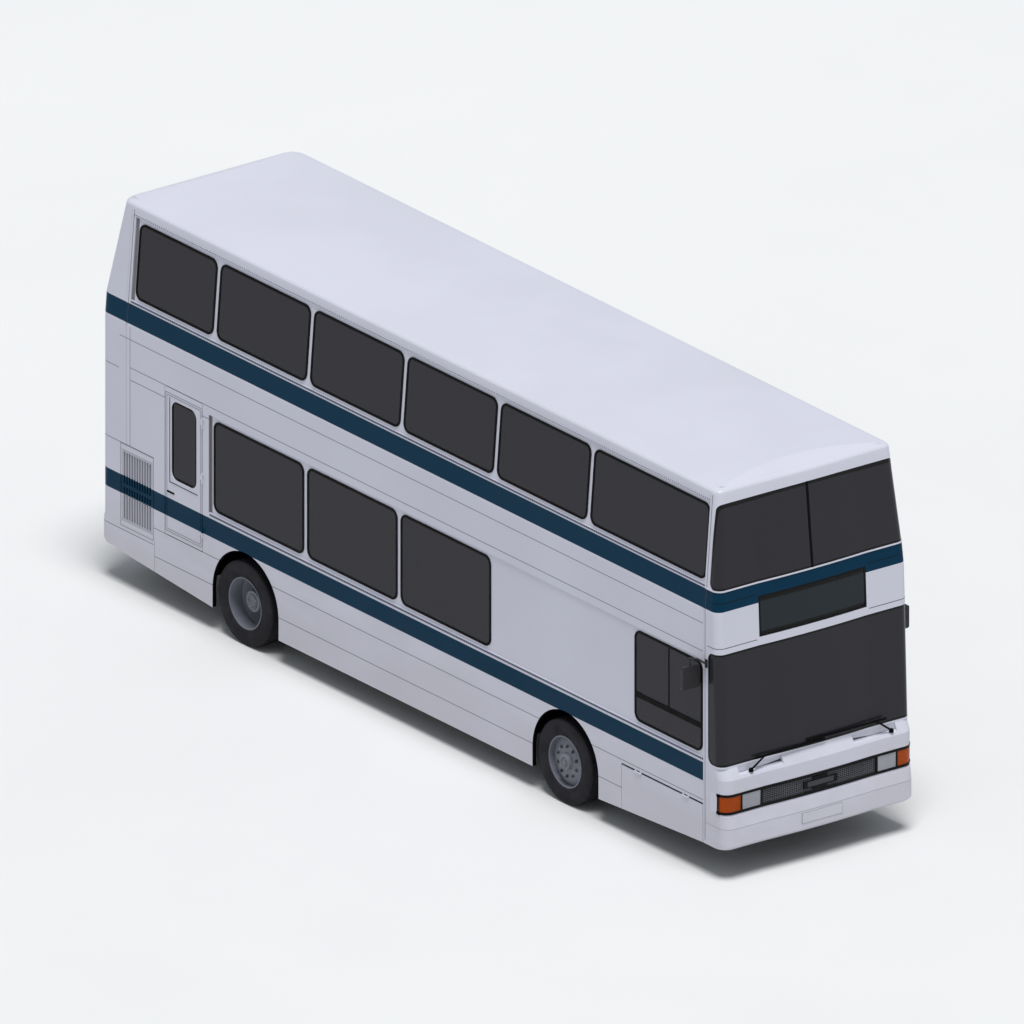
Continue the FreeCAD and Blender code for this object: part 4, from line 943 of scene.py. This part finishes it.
@dataclass
class FrontEnd:
    """Lamp surround, grille mesh, mouldings, wipers, plate and mirror glasses of the front.

    Attributes:
        lamp_edge: distance at which the opening for lamps and grille begins on the side walls.
        lap: how far the black frame laps over the body round the opening.
        frame_turn: distance from lamp_edge to the frame's front part.
        lamp_outer: distance of the lamps' outer ends from the centre line.
        post: half the width of the frame's posts.
        badge: half the widths of holder and plate, and half the holder's height.
        wipers: the blades, as (pivot, tip, height), with pivot and tip across the bus.
        wiper_foot: distance and height of the pivots.
        flap: upper edge of the locker flap, as (from, to, height).
        mesh: rows, cells in half a row, and clearance at the edges.
        plate: half the number plate's width, and its heights.
        plate_face: distance of the bumper's foremost face.
        mirror: the mirror glass, as (distance, inner end, outer end, low, high).
    """

    lamp_sill: float = 0.757
    lamp_head: float = 0.974
    lamp_edge: float = 10.780
    lap: float = 0.006
    frame: float = 0.030
    frame_turn: float = 0.028
    grille_half: float = 0.757
    lamp_outer: float = 1.017
    post: float = 0.012
    badge: Triple = (0.222, 0.170, 0.038)
    wipers: tuple[Triple, ...] = ((-0.880, 0.103, 1.309), (0.960, -0.146, 1.345))
    wiper_foot: Pair = (10.872, 1.196)
    wiper_axis: Triple = (0.22, 0.0, 0.975)
    flap: Triple = (9.110, 10.520, 0.786)
    mesh: tuple[int, int, float] = (8, 26, 0.025)
    lip: Pair = (3.222, 3.237)
    sign_lines: Pair = (2.596, 3.096)
    sign_half: float = 0.704
    bar: Pair = (3.237, 4.176)
    plate: Triple = (0.260, 0.459, 0.570)
    plate_face: float = 10.940
    mirror: tuple[float, float, float, float, float] = (10.431, 1.276, 1.469, 2.125, 2.340)

    def lamp_frame(self) -> None:
        """Adds the black frame round lamps and grille."""
        shape = Shape()
        turn = self.lamp_edge + self.frame_turn
        low, high = self.lamp_sill - self.lap, self.lamp_head + self.lap
        for side in (-1, 1):
            shape.ring(self.lamp_edge - 0.012, turn + 0.1, low, high, 0.035, self.frame, 0.003,
                       Body.wall(side, False))
        bmesh.ops.bisect_plane(shape.bm, geom=[*shape.bm.verts, *shape.bm.edges, *shape.bm.faces],
                               plane_co=(Body.x(turn), 0, 0), plane_no=(1, 0, 0), clear_outer=True)
        x = Body.x(Front.nose(0.86) - Front.bow)
        for side in (-1, 1):
            for z in (low, high - self.frame):
                shape.wrap(side, z, z + self.frame, 0.003, 0.03, turn, 0.0, Front.panel_corner)
            for edge in (self.grille_half, self.lamp_outer):
                y0, y1 = mirrored(side, edge - self.post, edge + self.post)
                shape.block((x - 0.03, y0, self.lamp_sill + 0.004), (x + 0.003, y1, self.lamp_head - 0.004), 0.003)
        shape.piece("lamp_frame", Look.BLACK_PLASTIC, "black_trim")

    def grille_mesh(self) -> None:
        """Adds the staggered mesh of the grille, bowed as the front is."""
        shape = Shape()
        rows, columns, edge = self.mesh
        low = self.lamp_sill + edge
        row = (self.lamp_head - edge - low) / rows
        cell = (self.grille_half - 0.02) / columns
        upright = Matrix.Rotation(math.pi / 2, 4, "Y") @ Matrix.Rotation(math.pi / 2, 4, "Z")
        for side in (-1, 1):
            for i in range(rows):
                shift = cell / 2 if i % 2 else 0.0
                y0, y1 = side * shift / 2, side * (self.grille_half - 0.018 - shift / 2)
                place = Matrix.Translation((0, (y0 + y1) / 2, low + row * (i + 0.5)))
                fit = place @ Matrix.Diagonal((1, abs(y1 - y0), row, 1)) @ upright
                bmesh.ops.create_grid(shape.bm, x_segments=columns, y_segments=1, size=0.5, matrix=fit)
        cells = list(shape.bm.faces)
        bmesh.ops.inset_individual(shape.bm, faces=cells, thickness=0.0026, use_even_offset=True)
        bmesh.ops.delete(shape.bm, geom=cells, context="FACES")
        bmesh.ops.solidify(shape.bm, geom=list(shape.bm.faces), thickness=0.006)
        for v in shape.bm.verts:
            nose = Front.nose(v.co.z) - Front.bow * min(1.0, (v.co.y / Front.bow_half) ** 2)
            v.co.x += Body.x(nose) - 0.010
        shape.piece("grille_mesh", Look.GRILLE, "black_trim")

    def badge_plate(self) -> None:
        """Adds the blank badge and its holder in the middle of the grille."""
        back, face = Shape(), Shape()
        outer, inner, tall = self.badge
        x, z = Body.x(Front.nose(0.866)), (self.lamp_sill + self.lamp_head) / 2
        back.block((x - 0.012, -outer, z - tall), (x + 0.004, outer, z + tall), 0.003)
        face.block((x - 0.002, -inner, z - tall + 0.010), (x + 0.007, inner, z + tall - 0.010), 0.002)
        back.piece("badge_holder", Look.BLACK_PLASTIC, "black_trim")
        face.piece("badge_blank", Look.BADGE, "black_trim")

    def wiper_sets(self) -> None:
        """Adds both wipers: cap, arm, bridge and rubber."""
        shape = Shape()
        foot_x, foot_z = self.wiper_foot
        for pivot, tip, z in self.wipers:
            heel = pivot + math.copysign(0.060, tip - pivot)
            joint = heel + 0.13 * (tip - heel)
            foot, blade = Vector((Body.x(foot_x), pivot, foot_z)), Vector((Body.x(foot_x - 0.003), joint, z))
            shape.disc(foot, 0.027, 0.030, self.wiper_axis, 24, 0.022)
            shape.disc(foot + Vector((0.004, 0, 0.017)), 0.009, 0.008, self.wiper_axis, 6)
            arm = blade - foot
            shape.disc((foot + blade) / 2, 0.012, arm.length, arm, 12, 0.009)
            shape.block(blade - Vector((0.010, 0.020, 0.009)), blade + Vector((0.006, 0.020, 0.009)), 0.003)
            y0, y1 = sorted((heel, tip))
            x = Body.x(foot_x - 0.013)
            shape.block((x, y0 + 0.006, z - 0.013), (x + 0.013, y1 - 0.006, z + 0.013), 0.004)
            shape.block((x - 0.007, y0, z - 0.004), (x, y1, z + 0.004), 0.0015)
        made = shape.piece("wiper_sets", Look.WIPER, "black_trim", smooth=True)
        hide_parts("wipers")

    def flap_shadow_strip(self) -> None:
        """Adds a black strip on the body just above the locker flap: a painted shadow of the flap's top gap."""
        shape = Shape()
        x0, x1, z = self.flap
        shape.strip(x0, x1, z, z + 0.012, 0.0025, 0.001, Body.wall(-1, False))
        shape.piece("locker_flap_seal", Look.BLACK_RUBBER, "black_trim")

    def mouldings(self) -> None:
        """Adds the white lip under the upper screen and the dark lines beside the sign."""
        lip, lines = Shape(), Shape()
        for side in (-1, 1):
            lip.wrap(side, *self.lip, 0.007, 0.01, 10.562, 0.0, Front.corner)
            for z in self.sign_lines:
                lines.wrap(side, z, z + 0.005, 0.0015, 0.01, 10.600, self.sign_half + 0.03, Front.corner)
        lip.piece("screen_lip", Look.PLAIN_WHITE, "body_white")
        lines.piece("front_lines", Look.BLACK_PLASTIC, "black_trim")

    def screen_bar(self) -> None:
        """Adds the black cover of the bar between the upper screens."""
        z0, z1 = self.bar
        slope = (Front.nose(z1) - Front.nose(z0)) / (z1 - z0)
        start = Body.x(Front.nose(z0)) - slope * z0
        shape = Shape()
        shape.block((-0.004, -0.014, z0), (0.003, 0.014, z1), 0.002, 2,
                    Matrix(((1, 0, slope, start), (0, 1, 0, 0), (0, 0, 1, 0), (0, 0, 0, 1))))
        shape.piece("screen_bar", Look.BLACK_RUBBER, "black_trim")

    def number_plate(self) -> None:
        """Adds the blank front plate in its recess."""
        half, z0, z1 = self.plate
        x, edge = Body.x(self.plate_face), 0.006
        back, face = Shape(), Shape()
        back.block((x - 0.012, -half - edge, z0 - edge), (x + 0.0015, half + edge, z1 + edge), 0.0015)
        face.block((x - 0.008, -half, z0), (x + 0.0035, half, z1), 0.0015)
        back.piece("front_plate_frame", Look.MOULDING, "black_trim")
        face.piece("front_plate", Look.PLATE, "body_white")

    def mirror_glasses(self) -> None:
        """Adds the glass of each mirror, facing back."""
        shape = Shape()
        x, inner, outer, low, high = self.mirror
        for side in (-1, 1):
            y0, y1 = mirrored(side, inner, outer)
            shape.block((Body.x(x), y0, low), (Body.x(x + 0.005), y1, high), 0.002)
        shape.piece("mirror_glasses", Look.MIRROR, "steel")

    def build(self) -> None:
        """Builds the front's pieces."""
        self.lamp_frame()
        self.grille_mesh()
        self.badge_plate()
        self.mouldings()
        self.screen_bar()
        self.wiper_sets()
        self.flap_shadow_strip()
        self.number_plate()
        self.mirror_glasses()


@dataclass
class RearEnd:
    """Rubber of the rear window, lamp lenses and blank plate.

    Attributes:
        window: half the rear window's width, and its heights.
        lean_z: height from which the rear wall leans.
        face: distance of the rear wall's face below it.
        slope: how far the wall leans forward for each metre up.
        lamp: a lamp cluster, as (inner and outer end, low, high).
        lenses: its lenses, as (name, from, to, finish), with shares of the cluster's height.
        plate: half the number plate's width, and its heights.
    """

    window: Triple = (0.920, 3.310, 4.080)
    lean_z: float = 3.224
    face: float = 0.020
    slope: float = 0.28 / 1.046
    lamp: Quad = (0.880, 1.060, 0.780, 1.240)
    lenses: tuple[tuple[str, float, float, Look], ...] = (
        ("reversing", 0.0, 0.30, Look.CLEAR_LENS), ("tail", 0.32, 0.66, Look.RED_LENS),
        ("turn", 0.68, 1.0, Look.TURN_LENS),
    )
    plate: Triple = (0.26, 0.80, 0.911)

    def window_rubber(self) -> None:
        """Adds the rubber of the leaning rear window."""
        half, low, high = self.window
        start = Body.x(self.face) - self.slope * self.lean_z
        lean = Matrix(((0, -1, self.slope, start), (1, 0, 0, 0), (0, 0, 1, 0), (0, 0, 0, 1)))
        shape = Shape()
        shape.ring(-half, half, low, high, 0.09, 0.035, 0.005, lean)
        shape.piece("rear_window_rubber", Look.BLACK_RUBBER, "black_trim")

    def lamp_lenses(self) -> None:
        """Adds one lens of each kind to both clusters."""
        inner, outer, low, high = self.lamp
        x = Body.x(self.face) - 0.012
        for name, start, end, look in self.lenses:
            shape = Shape()
            z0, z1 = low + (high - low) * start + 0.008, low + (high - low) * end - 0.004
            for side in (-1, 1):
                y0, y1 = mirrored(side, inner + 0.008, outer - 0.008)
                shape.block((x - 0.006, y0, z0), (x + 0.002, y1, z1), 0.004, 3)
            shape.piece(f"rear_{name}_lenses", look, "lamp_red")

    def build(self) -> None:
        """Builds the rear's pieces."""
        self.window_rubber()
        self.lamp_lenses()
        half, low, high = self.plate
        shape = Shape()
        shape.block((Body.x(self.face) - 0.008, -half, low), (Body.x(self.face), half, high), 0.0015)
        shape.piece("rear_plate", Look.PLATE, "body_white", "engine_door")


@dataclass
class Wheels:
    """Tyres with tread and sidewall rings, nuts and hub caps.

    Attributes:
        tyre_y: distance of the outer tyres from the centre line.
        twin: distance between the tyres of a rear pair.
        flank: the sidewall near the rim, as (height over the rim, step inwards).
        shoulder: the sidewall near the tread, as (depth under the outer radius, step inwards).
        grooves: how far the tread's grooves lie from its middle.
        groove: their depth, and half their width at the top and at the bottom.
        nut_circle: radius of the circle on which the nuts lie.
        nut: washer, nut and bolt end, as (distance outwards, radius, depth, sides, radius at the tip).
    """

    rim: float = 0.286
    radius: float = 0.468
    width: float = 0.255
    tread: float = 0.216
    height: float = 0.468
    tyre_y: float = 1.1075
    twin: float = 0.300
    front_axle: float = 8.080
    rear_axle: float = 2.512
    flank: tuple[Pair, ...] = (
        (0.0, 0.016), (0.012, 0.008), (0.030, 0.004), (0.034, 0.007), (0.060, 0.001), (0.100, 0.0),
    )
    shoulder: tuple[Pair, ...] = ((0.045, 0.003), (0.041, 0.006), (0.024, 0.006))
    grooves: Pair = (0.074, 0.028)
    groove: Triple = (0.011, 0.006, 0.004)
    nuts: int = 10
    nut_circle: float = 0.1675
    nut: tuple[tuple[float, float, float, int, float], ...] = (
        (0.002, 0.021, 0.006, 18, 0.021), (0.014, 0.0165, 0.022, 6, 0.0165), (0.028, 0.0105, 0.010, 12, 0.009),
    )
    cap_bolts: int = 8

    def tyre(self, shape: Shape, centre: Sequence[float]) -> None:
        """Adds one tyre."""
        w, t, r = self.width / 2, self.tread / 2, self.radius
        depth, top, bottom = self.groove
        half = [(self.rim + up, w - inwards) for up, inwards in self.flank]
        half += [(r - down, w - inwards) for down, inwards in self.shoulder]
        half += [(r - 0.008, t + 0.004), (r - 0.001, t - 0.006)]
        for y in self.grooves:
            half += [(r, y + top), (r - depth, y + bottom), (r - depth, y - bottom), (r, y - top)]
        shape.turned(half + [(radius, -y) for radius, y in reversed(half)], centre, 80)

    def circle(self, x: float, radius: float, count: int, shift: float = 0.0) -> list[Pair]:
        """Places round a hub, as (x, height), where shift is a share of one step."""
        angles = [2 * math.pi * (i + shift) / count for i in range(count)]
        return [(Body.x(x) + radius * math.cos(a), self.height + radius * math.sin(a)) for a in angles]

    def fittings(self, axle: str, x: float, side: int, word: str, body: str) -> None:
        """Adds nuts, washers and the hub cap of one wheel."""
        shape, out = Shape(), (0, side, 0)
        if axle == "front":
            face, end, cap = self.tyre_y + 0.078, self.tyre_y + 0.122, 0.058
        else:
            face, end, cap = self.tyre_y - self.twin / 2 + 0.012, self.tyre_y + 0.010, 0.085
        for at, z in self.circle(x, self.nut_circle, self.nuts, 0.5):
            for proud, radius, depth, sides, tip in self.nut:
                shape.disc((at, side * (face + proud), z), radius, depth, out, sides, tip)
        shape.disc((Body.x(x), side * (end + 0.003), self.height), cap, 0.008, out, 40, cap - 0.006)
        for at, z in self.circle(x, cap * 0.72, self.cap_bolts):
            shape.disc((at, side * (end + 0.009), z), 0.007, 0.007, out, 6)
        shape.piece(f"{axle}_wheel_nuts_{word}", Look.WHEEL_NUT, "steel", body, smooth=True)

    def build(self) -> None:
        """Builds tyres, nuts and caps of all the wheels."""
        axles = (("front", self.front_axle, (self.tyre_y,)),
                 ("rear", self.rear_axle, (self.tyre_y, self.tyre_y - self.twin)))
        for side, word, letter in ((1, "nearside", "n"), (-1, "offside", "o")):
            for axle, x, ys in axles:
                body = f"{axle}_wheel_{letter}"
                tyres = Shape()
                for y in ys:
                    self.tyre(tyres, (Body.x(x), side * y, self.height))
                made = tyres.piece(f"{axle}_tread_{word}", Look.TYRE, "tyre_black", body, smooth=True)
                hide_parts(f"{axle}_tyre_{word}" if axle == "front" else f"{axle}_tyres_{word}")
                self.fittings(axle, x, side, word, body)


def leaning(degrees: float) -> Matrix:
    """Matrix that leans a pad or a back towards the rear."""
    return Matrix.Rotation(math.radians(-degrees), 4, "Y")


@dataclass
class Seats:
    """Padded seats of both decks on their frames.

    Attributes:
        bench: width of a bench for two.
        inside: half the width between the walls.
        upper_gangway: half the width of the upper gangway.
        stair_rows: upper rows that the staircase leaves without an offside bench.
        rear_bench, driver: distance and ends across the bus.
        wheel_bench: distance and height of the benches over the rear wheels.
        wheel_seat: width of a seat there, and the distance from one to the next.
        person: rough width of one seat on a bench.
        joint: gap between two pads.
        cushion, back: sizes of the pads before they are stuffed.
        soft_push: how far the stuffing may move a point.
    """

    pitch: float = 0.760
    bench: float = 0.860
    inside: float = 1.190
    lower_first: float = 3.300
    lower_rows: int = 5
    lower_floor: float = 0.780
    upper_first: float = 0.700
    upper_rows: int = 13
    upper_floor: float = 2.700
    upper_gangway: float = 0.270
    stair_rows: tuple[int, ...] = (9, 10)
    rear_bench: Triple = (1.160, -0.250, 1.190)
    driver: Triple = (9.420, -1.040, -0.560)
    wheel_bench: Pair = (2.562, 1.130)
    wheel_seat: Pair = (0.355, 0.365)
    person: float = 0.43
    joint: float = 0.006
    cushion: Triple = (0.375, 0.420, 0.074)
    back: Triple = (0.052, 0.420, 0.560)
    back_lean: float = 9.7
    cushion_lean: float = 2.4
    soft_push: float = 0.012
    places: dict[str, list[Quad]] = field(default_factory=dict)

    def settle(self) -> None:
        """Lists the benches of each deck as (x, floor, y from, y to)."""
        lower, upper = [], []
        for i in range(self.lower_rows):
            x = self.lower_first + self.pitch * i
            lower.append((x, self.lower_floor, self.inside - self.bench, self.inside))
            lower.append((x, self.lower_floor, -self.inside, self.bench - self.inside))
        lower += [(x, self.lower_floor, y0, y1) for x, y0, y1 in (self.rear_bench, self.driver)]
        for i in range(self.upper_rows):
            x, a = self.upper_first + self.pitch * i, self.upper_gangway
            upper.append((x, self.upper_floor, a, a + self.bench))
            if i not in self.stair_rows:
                upper.append((x, self.upper_floor, -a - self.bench, -a))
        self.places = {"lower": lower, "upper": upper}

    def pad(self, size: Triple, name: str) -> bpy.types.Mesh:
        """Makes one stuffed pad about the origin.

        Args:
            size: its lengths along x, y and z before it is stuffed.
            name: name of the mesh.

        Returns:
            A mesh that is copied to every place of its kind.
        """
        shape = Shape()
        low = [-a / 2 + 0.006 for a in size]
        high = [a / 2 - 0.006 for a in size]
        shape.block(low, high, min(size) * 0.3, 2)
        bmesh.ops.recalc_face_normals(shape.bm, faces=shape.bm.faces)
        made = shape.finished(name)
        remesh = made.modifiers.new("remesh", "REMESH")
        remesh.mode, remesh.voxel_size = "VOXEL", 0.017
        rest = self.applied(made, f"{name}_rest")
        cloth_mesh = rest.copy()
        made.modifiers.clear()
        made.data = cloth_mesh
        cloth = made.modifiers.new("cloth", "CLOTH")
        cloth.settings.use_pressure = True
        cloth.settings.uniform_pressure_force = 4.0
        cloth.settings.effector_weights.gravity = 0.0
        for step in range(1, 21):
            bpy.context.scene.frame_set(step)
        puffed = self.applied(made, f"{name}_puffed")
        for v, start in zip(puffed.vertices, rest.vertices):
            move = v.co - start.co
            if move.length > self.soft_push:
                v.co = start.co + move.normalized() * self.soft_push
        bpy.context.scene.frame_set(1)
        return puffed

    def applied(self, made: bpy.types.Object, name: str) -> bpy.types.Mesh:
        """Mesh of an object with its modifiers applied; the object itself stays until the end."""
        graph = bpy.context.evaluated_depsgraph_get()
        mesh = bpy.data.meshes.new_from_object(made.evaluated_get(graph))
        mesh.name = name
        return mesh

    def pads(self) -> None:
        """Adds the cushions and backs of both decks."""
        kinds = {"cushion": self.pad(self.cushion, "cushion_pad"), "back": self.pad(self.back, "back_pad")}
        for name in ("cushion_pad", "back_pad"):
            bpy.data.objects.remove(bpy.data.objects[name])
        for deck, benches in self.places.items():
            for kind, pad in kinds.items():
                shape = Shape()
                for bench in benches:
                    self.bench_pads(shape, pad, kind, bench)
                if deck == "lower":
                    self.wheel_pads(shape, pad, kind)
                made = shape.piece(f"{deck}_{kind}s", Look.CLOTH, "seat_cloth", smooth=True)
                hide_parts(f"{deck}_seats")

    def bench_pads(self, shape: Shape, pad: bpy.types.Mesh, kind: str, bench: Quad) -> None:
        """Adds one pad for each person on a bench."""
        x, floor, y0, y1 = bench
        count = max(1, round((y1 - y0) / self.person))
        wide = (y1 - y0) / count
        stretch = Matrix.Diagonal((1, (wide - self.joint) / self.cushion[1], 1, 1))
        if kind == "cushion":
            ahead, up, lean = 0.250, 0.398, leaning(self.cushion_lean)
        else:
            ahead, up, lean = 0.004, 0.700, leaning(self.back_lean)
        for i in range(count):
            place = Matrix.Translation((Body.x(x) + ahead, y0 + wide * (i + 0.5), floor + up))
            self.copy_into(shape, pad, place @ lean @ stretch)

    def wheel_pads(self, shape: Shape, pad: bpy.types.Mesh, kind: str) -> None:
        """Adds pads of the inward-facing benches over the rear wheels."""
        (middle, z), (wide, step) = self.wheel_bench, self.wheel_seat
        out, up, lean, tall = (0.905, 0.047, 0.0, 1.0) if kind == "cushion" else (1.145, 0.310, 4.0, 0.70)
        fit = leaning(lean) @ Matrix.Diagonal((1, wide / self.cushion[1], tall, 1))
        for side in (-1, 1):
            face = Matrix.Rotation(-side * math.pi / 2, 4, "Z")
            for i in (-1, 0, 1):
                place = Matrix.Translation((Body.x(middle + step * i), side * out, z + up))
                self.copy_into(shape, pad, place @ face @ fit)

    def copy_into(self, shape: Shape, pad: bpy.types.Mesh, place: Matrix) -> None:
        """Copies a pad into a shape at a place."""
        start = len(shape.bm.verts)
        shape.bm.from_mesh(pad)
        shape.bm.verts.ensure_lookup_table()
        bmesh.ops.transform(shape.bm, matrix=place, verts=shape.bm.verts[start:])

    def bench_frame(self, shape: Shape, rails: Shape, bench: Quad) -> None:
        """Adds pan, back shell, legs and grab rail of one bench."""
        x, floor, y0, y1 = bench
        at = Body.x(x)
        back = Matrix.Translation((at - 0.030, 0, floor + 0.690)) @ leaning(self.back_lean)
        shape.block((at + 0.045, y0 + 0.005, floor + 0.335), (at + 0.425, y1 - 0.005, floor + 0.360), 0.010)
        shape.block((-0.010, y0 + 0.004, -0.300), (0.010, y1 - 0.004, 0.285), 0.009, 3, back)
        for y in (y0 + 0.10, y1 - 0.10):
            shape.block((at + 0.200, y - 0.018, floor), (at + 0.235, y + 0.018, floor + 0.338), 0.006)
            shape.block((at + 0.060, y - 0.022, floor), (at + 0.400, y + 0.022, floor + 0.010), 0.003)
        top = back @ Vector((0.0, 0.0, 0.290))
        rails.disc((top.x, (y0 + y1) / 2, top.z), 0.0125, y1 - y0 - 0.02, (0, 1, 0), 12)

    def wheel_frames(self, shape: Shape) -> None:
        """Adds pans and backs of the benches over the rear wheels."""
        middle, z = Body.x(self.wheel_bench[0]), self.wheel_bench[1]
        for side in (-1, 1):
            for inner, outer, tall, bevel in ((0.690, 1.180, 0.012, 0.004), (1.172, 1.188, 0.515, 0.006)):
                y0, y1 = mirrored(side, inner, outer)
                shape.block((middle - 0.55, y0, z), (middle + 0.55, y1, z + tall), bevel)

    def frames(self) -> None:
        """Adds the frames and grab rails of both decks."""
        for deck, benches in self.places.items():
            shape, rails = Shape(), Shape()
            for bench in benches:
                self.bench_frame(shape, rails, bench)
            if deck == "lower":
                self.wheel_frames(shape)
            made = shape.piece(f"{deck}_seat_frames", Look.SEAT_SHELL, "interior_grey")
            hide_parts(f"{deck}_seats")
            rails.piece(f"{deck}_seat_rails", Look.RAIL, "rail_yellow", smooth=True)

    def build(self) -> None:
        """Builds the seats."""
        self.settle()
        self.pads()
        self.frames()


# Nodes that keep their shape


LOOKS: dict[Look, tuple[str, ...]] = {
    Look.COACHWORK: (
        "roof", "nearside_lower_side", "nearside_upper_side", "offside_lower_side", "offside_upper_side",
        "front_panel", "front_surround", "front_bumper", "rear_bumper", "rear_lower_panel", "rear_upper_panel",
        "engine_cover", "emergency_door", "locker_flap", "side_louvre", "entrance_frame",
    ),
    Look.SCREEN: ("front_glass",),
    Look.GLASS: ("window_glass", "emergency_door_glass", "door_glass_front", "door_glass_rear"),
    Look.BLACK_PLASTIC: ("front_grille", "destination_box", "wipers"),
    Look.MIRROR_SHELL: ("mirrors",),
    Look.BLACK_RUBBER: ("door_leaf_front", "door_leaf_rear", "air_springs"),
    Look.DARK_ARCH: ("wheel_housings",),
    Look.TYRE: ("front_tyre_nearside", "front_tyre_offside", "rear_tyres_nearside", "rear_tyres_offside"),
    Look.WHEEL: ("front_rim_nearside", "front_rim_offside", "rear_rims_nearside", "rear_rims_offside"),
    Look.STEEL: ("door_post_front", "door_post_rear", "track_rod"),
    Look.CAST: (
        "chassis_rails", "cross_members", "outriggers", "front_axle_beam", "rear_axle", "knuckle_nearside",
        "knuckle_offside", "engine_block", "fuel_tank",
    ),
    Look.CLEAR_LENS: ("headlamps",),
    Look.ORANGE_LENS: ("indicators",),
    Look.RED_LENS: ("rear_lamps",),
    Look.FLOOR: ("lower_floor", "upper_floor", "entrance_steps"),
    Look.LAMINATE: ("staircase", "cab_fittings"),
    Look.CLOTH: ("lower_seats", "upper_seats"),
    Look.RAIL: ("handrails",),
}


def dress_nodes() -> None:
    """Gives every carried-over node its finish."""
    for look, names in LOOKS.items():
        for name in names:
            slots = frame["nodes"][name].data.materials
            slots.clear()
            slots.append(look.material)


# Studio


@dataclass
class Studio:
    """Pale floor, soft light and the camera, which sees without perspective.

    Attributes:
        aim: the point in the middle of the picture.
        back: direction from there to the camera.
        key_angle: apparent size of the key light in degrees, for soft shadows.
        backdrop: colour that the camera sees behind the bus.
    """

    aim: Triple = (0.071, 0.0, 2.181)
    back: Triple = (0.7410, -0.5584, 0.3730)
    view_width: float = 10.726
    distance: float = 60.0
    key_from: Triple = (0.23, -0.105, 0.95)
    key_strength: float = 2.65
    key_angle: float = 24.0
    sky: Colour = (0.88, 0.94, 1.0)
    sky_strength: float = 0.36
    backdrop: Colour = (0.9, 0.9, 0.9)
    ground: Colour = (0.80, 0.80, 0.80)
    ground_half: float = 150.0

    def floor(self) -> None:
        """Adds the floor."""
        shape = Shape()
        bmesh.ops.create_grid(shape.bm, x_segments=1, y_segments=1, size=self.ground_half)
        made = shape.finished("studio_floor")
        paint = Finish("floor_paint", self.ground, 0.985, 0.8, depth=0.0, patch=0.2)
        made.data.materials.append(paint.build())

    def lights(self) -> None:
        """Adds the key light and an even sky."""
        key = bpy.data.lights.new("key", "SUN")
        key.energy = self.key_strength
        key.angle = math.radians(self.key_angle)
        lamp = placed("key", key)
        lamp.rotation_euler = Vector(self.key_from).to_track_quat("Z", "Y").to_euler()
        world = bpy.data.worlds.new("studio")
        net = Net(world)
        camera = net.add("ShaderNodeLightPath", {}, {}, "Is Camera Ray")
        seen = camera | camera.sibling("Is Transmission Ray")
        sky = net.add("ShaderNodeBackground", {}, {"Color": self.sky, "Strength": self.sky_strength})
        white = net.add("ShaderNodeBackground", {}, {"Color": self.backdrop})
        net.close("ShaderNodeOutputWorld", net.add("ShaderNodeMixShader", {}, {0: seen, 1: sky, 2: white}))
        bpy.context.scene.world = world

    def camera(self) -> None:
        """Adds the camera."""
        data = bpy.data.cameras.new("camera")
        data.type = "ORTHO"
        data.ortho_scale = self.view_width
        data.clip_end = 10.0 * self.distance
        eye = placed("camera", data)
        back = Vector(self.back).normalized()
        eye.location = Vector(self.aim) + back * self.distance
        eye.rotation_euler = back.to_track_quat("Z", "Y").to_euler()
        bpy.context.scene.camera = eye
        bpy.context.scene.view_settings.view_transform = "Standard"

    def build(self) -> None:
        """Sets the whole studio."""
        self.floor()
        self.lights()
        self.camera()


def main() -> None:
    """Dresses the bus and sets the studio."""
    dress_nodes()
    Glazing().build()
    EmergencyDoor().build()
    FrontEnd().build()
    RearEnd().build()
    Wheels().build()
    Seats().build()
    Studio().build()


if __name__ == "__main__":
    main()
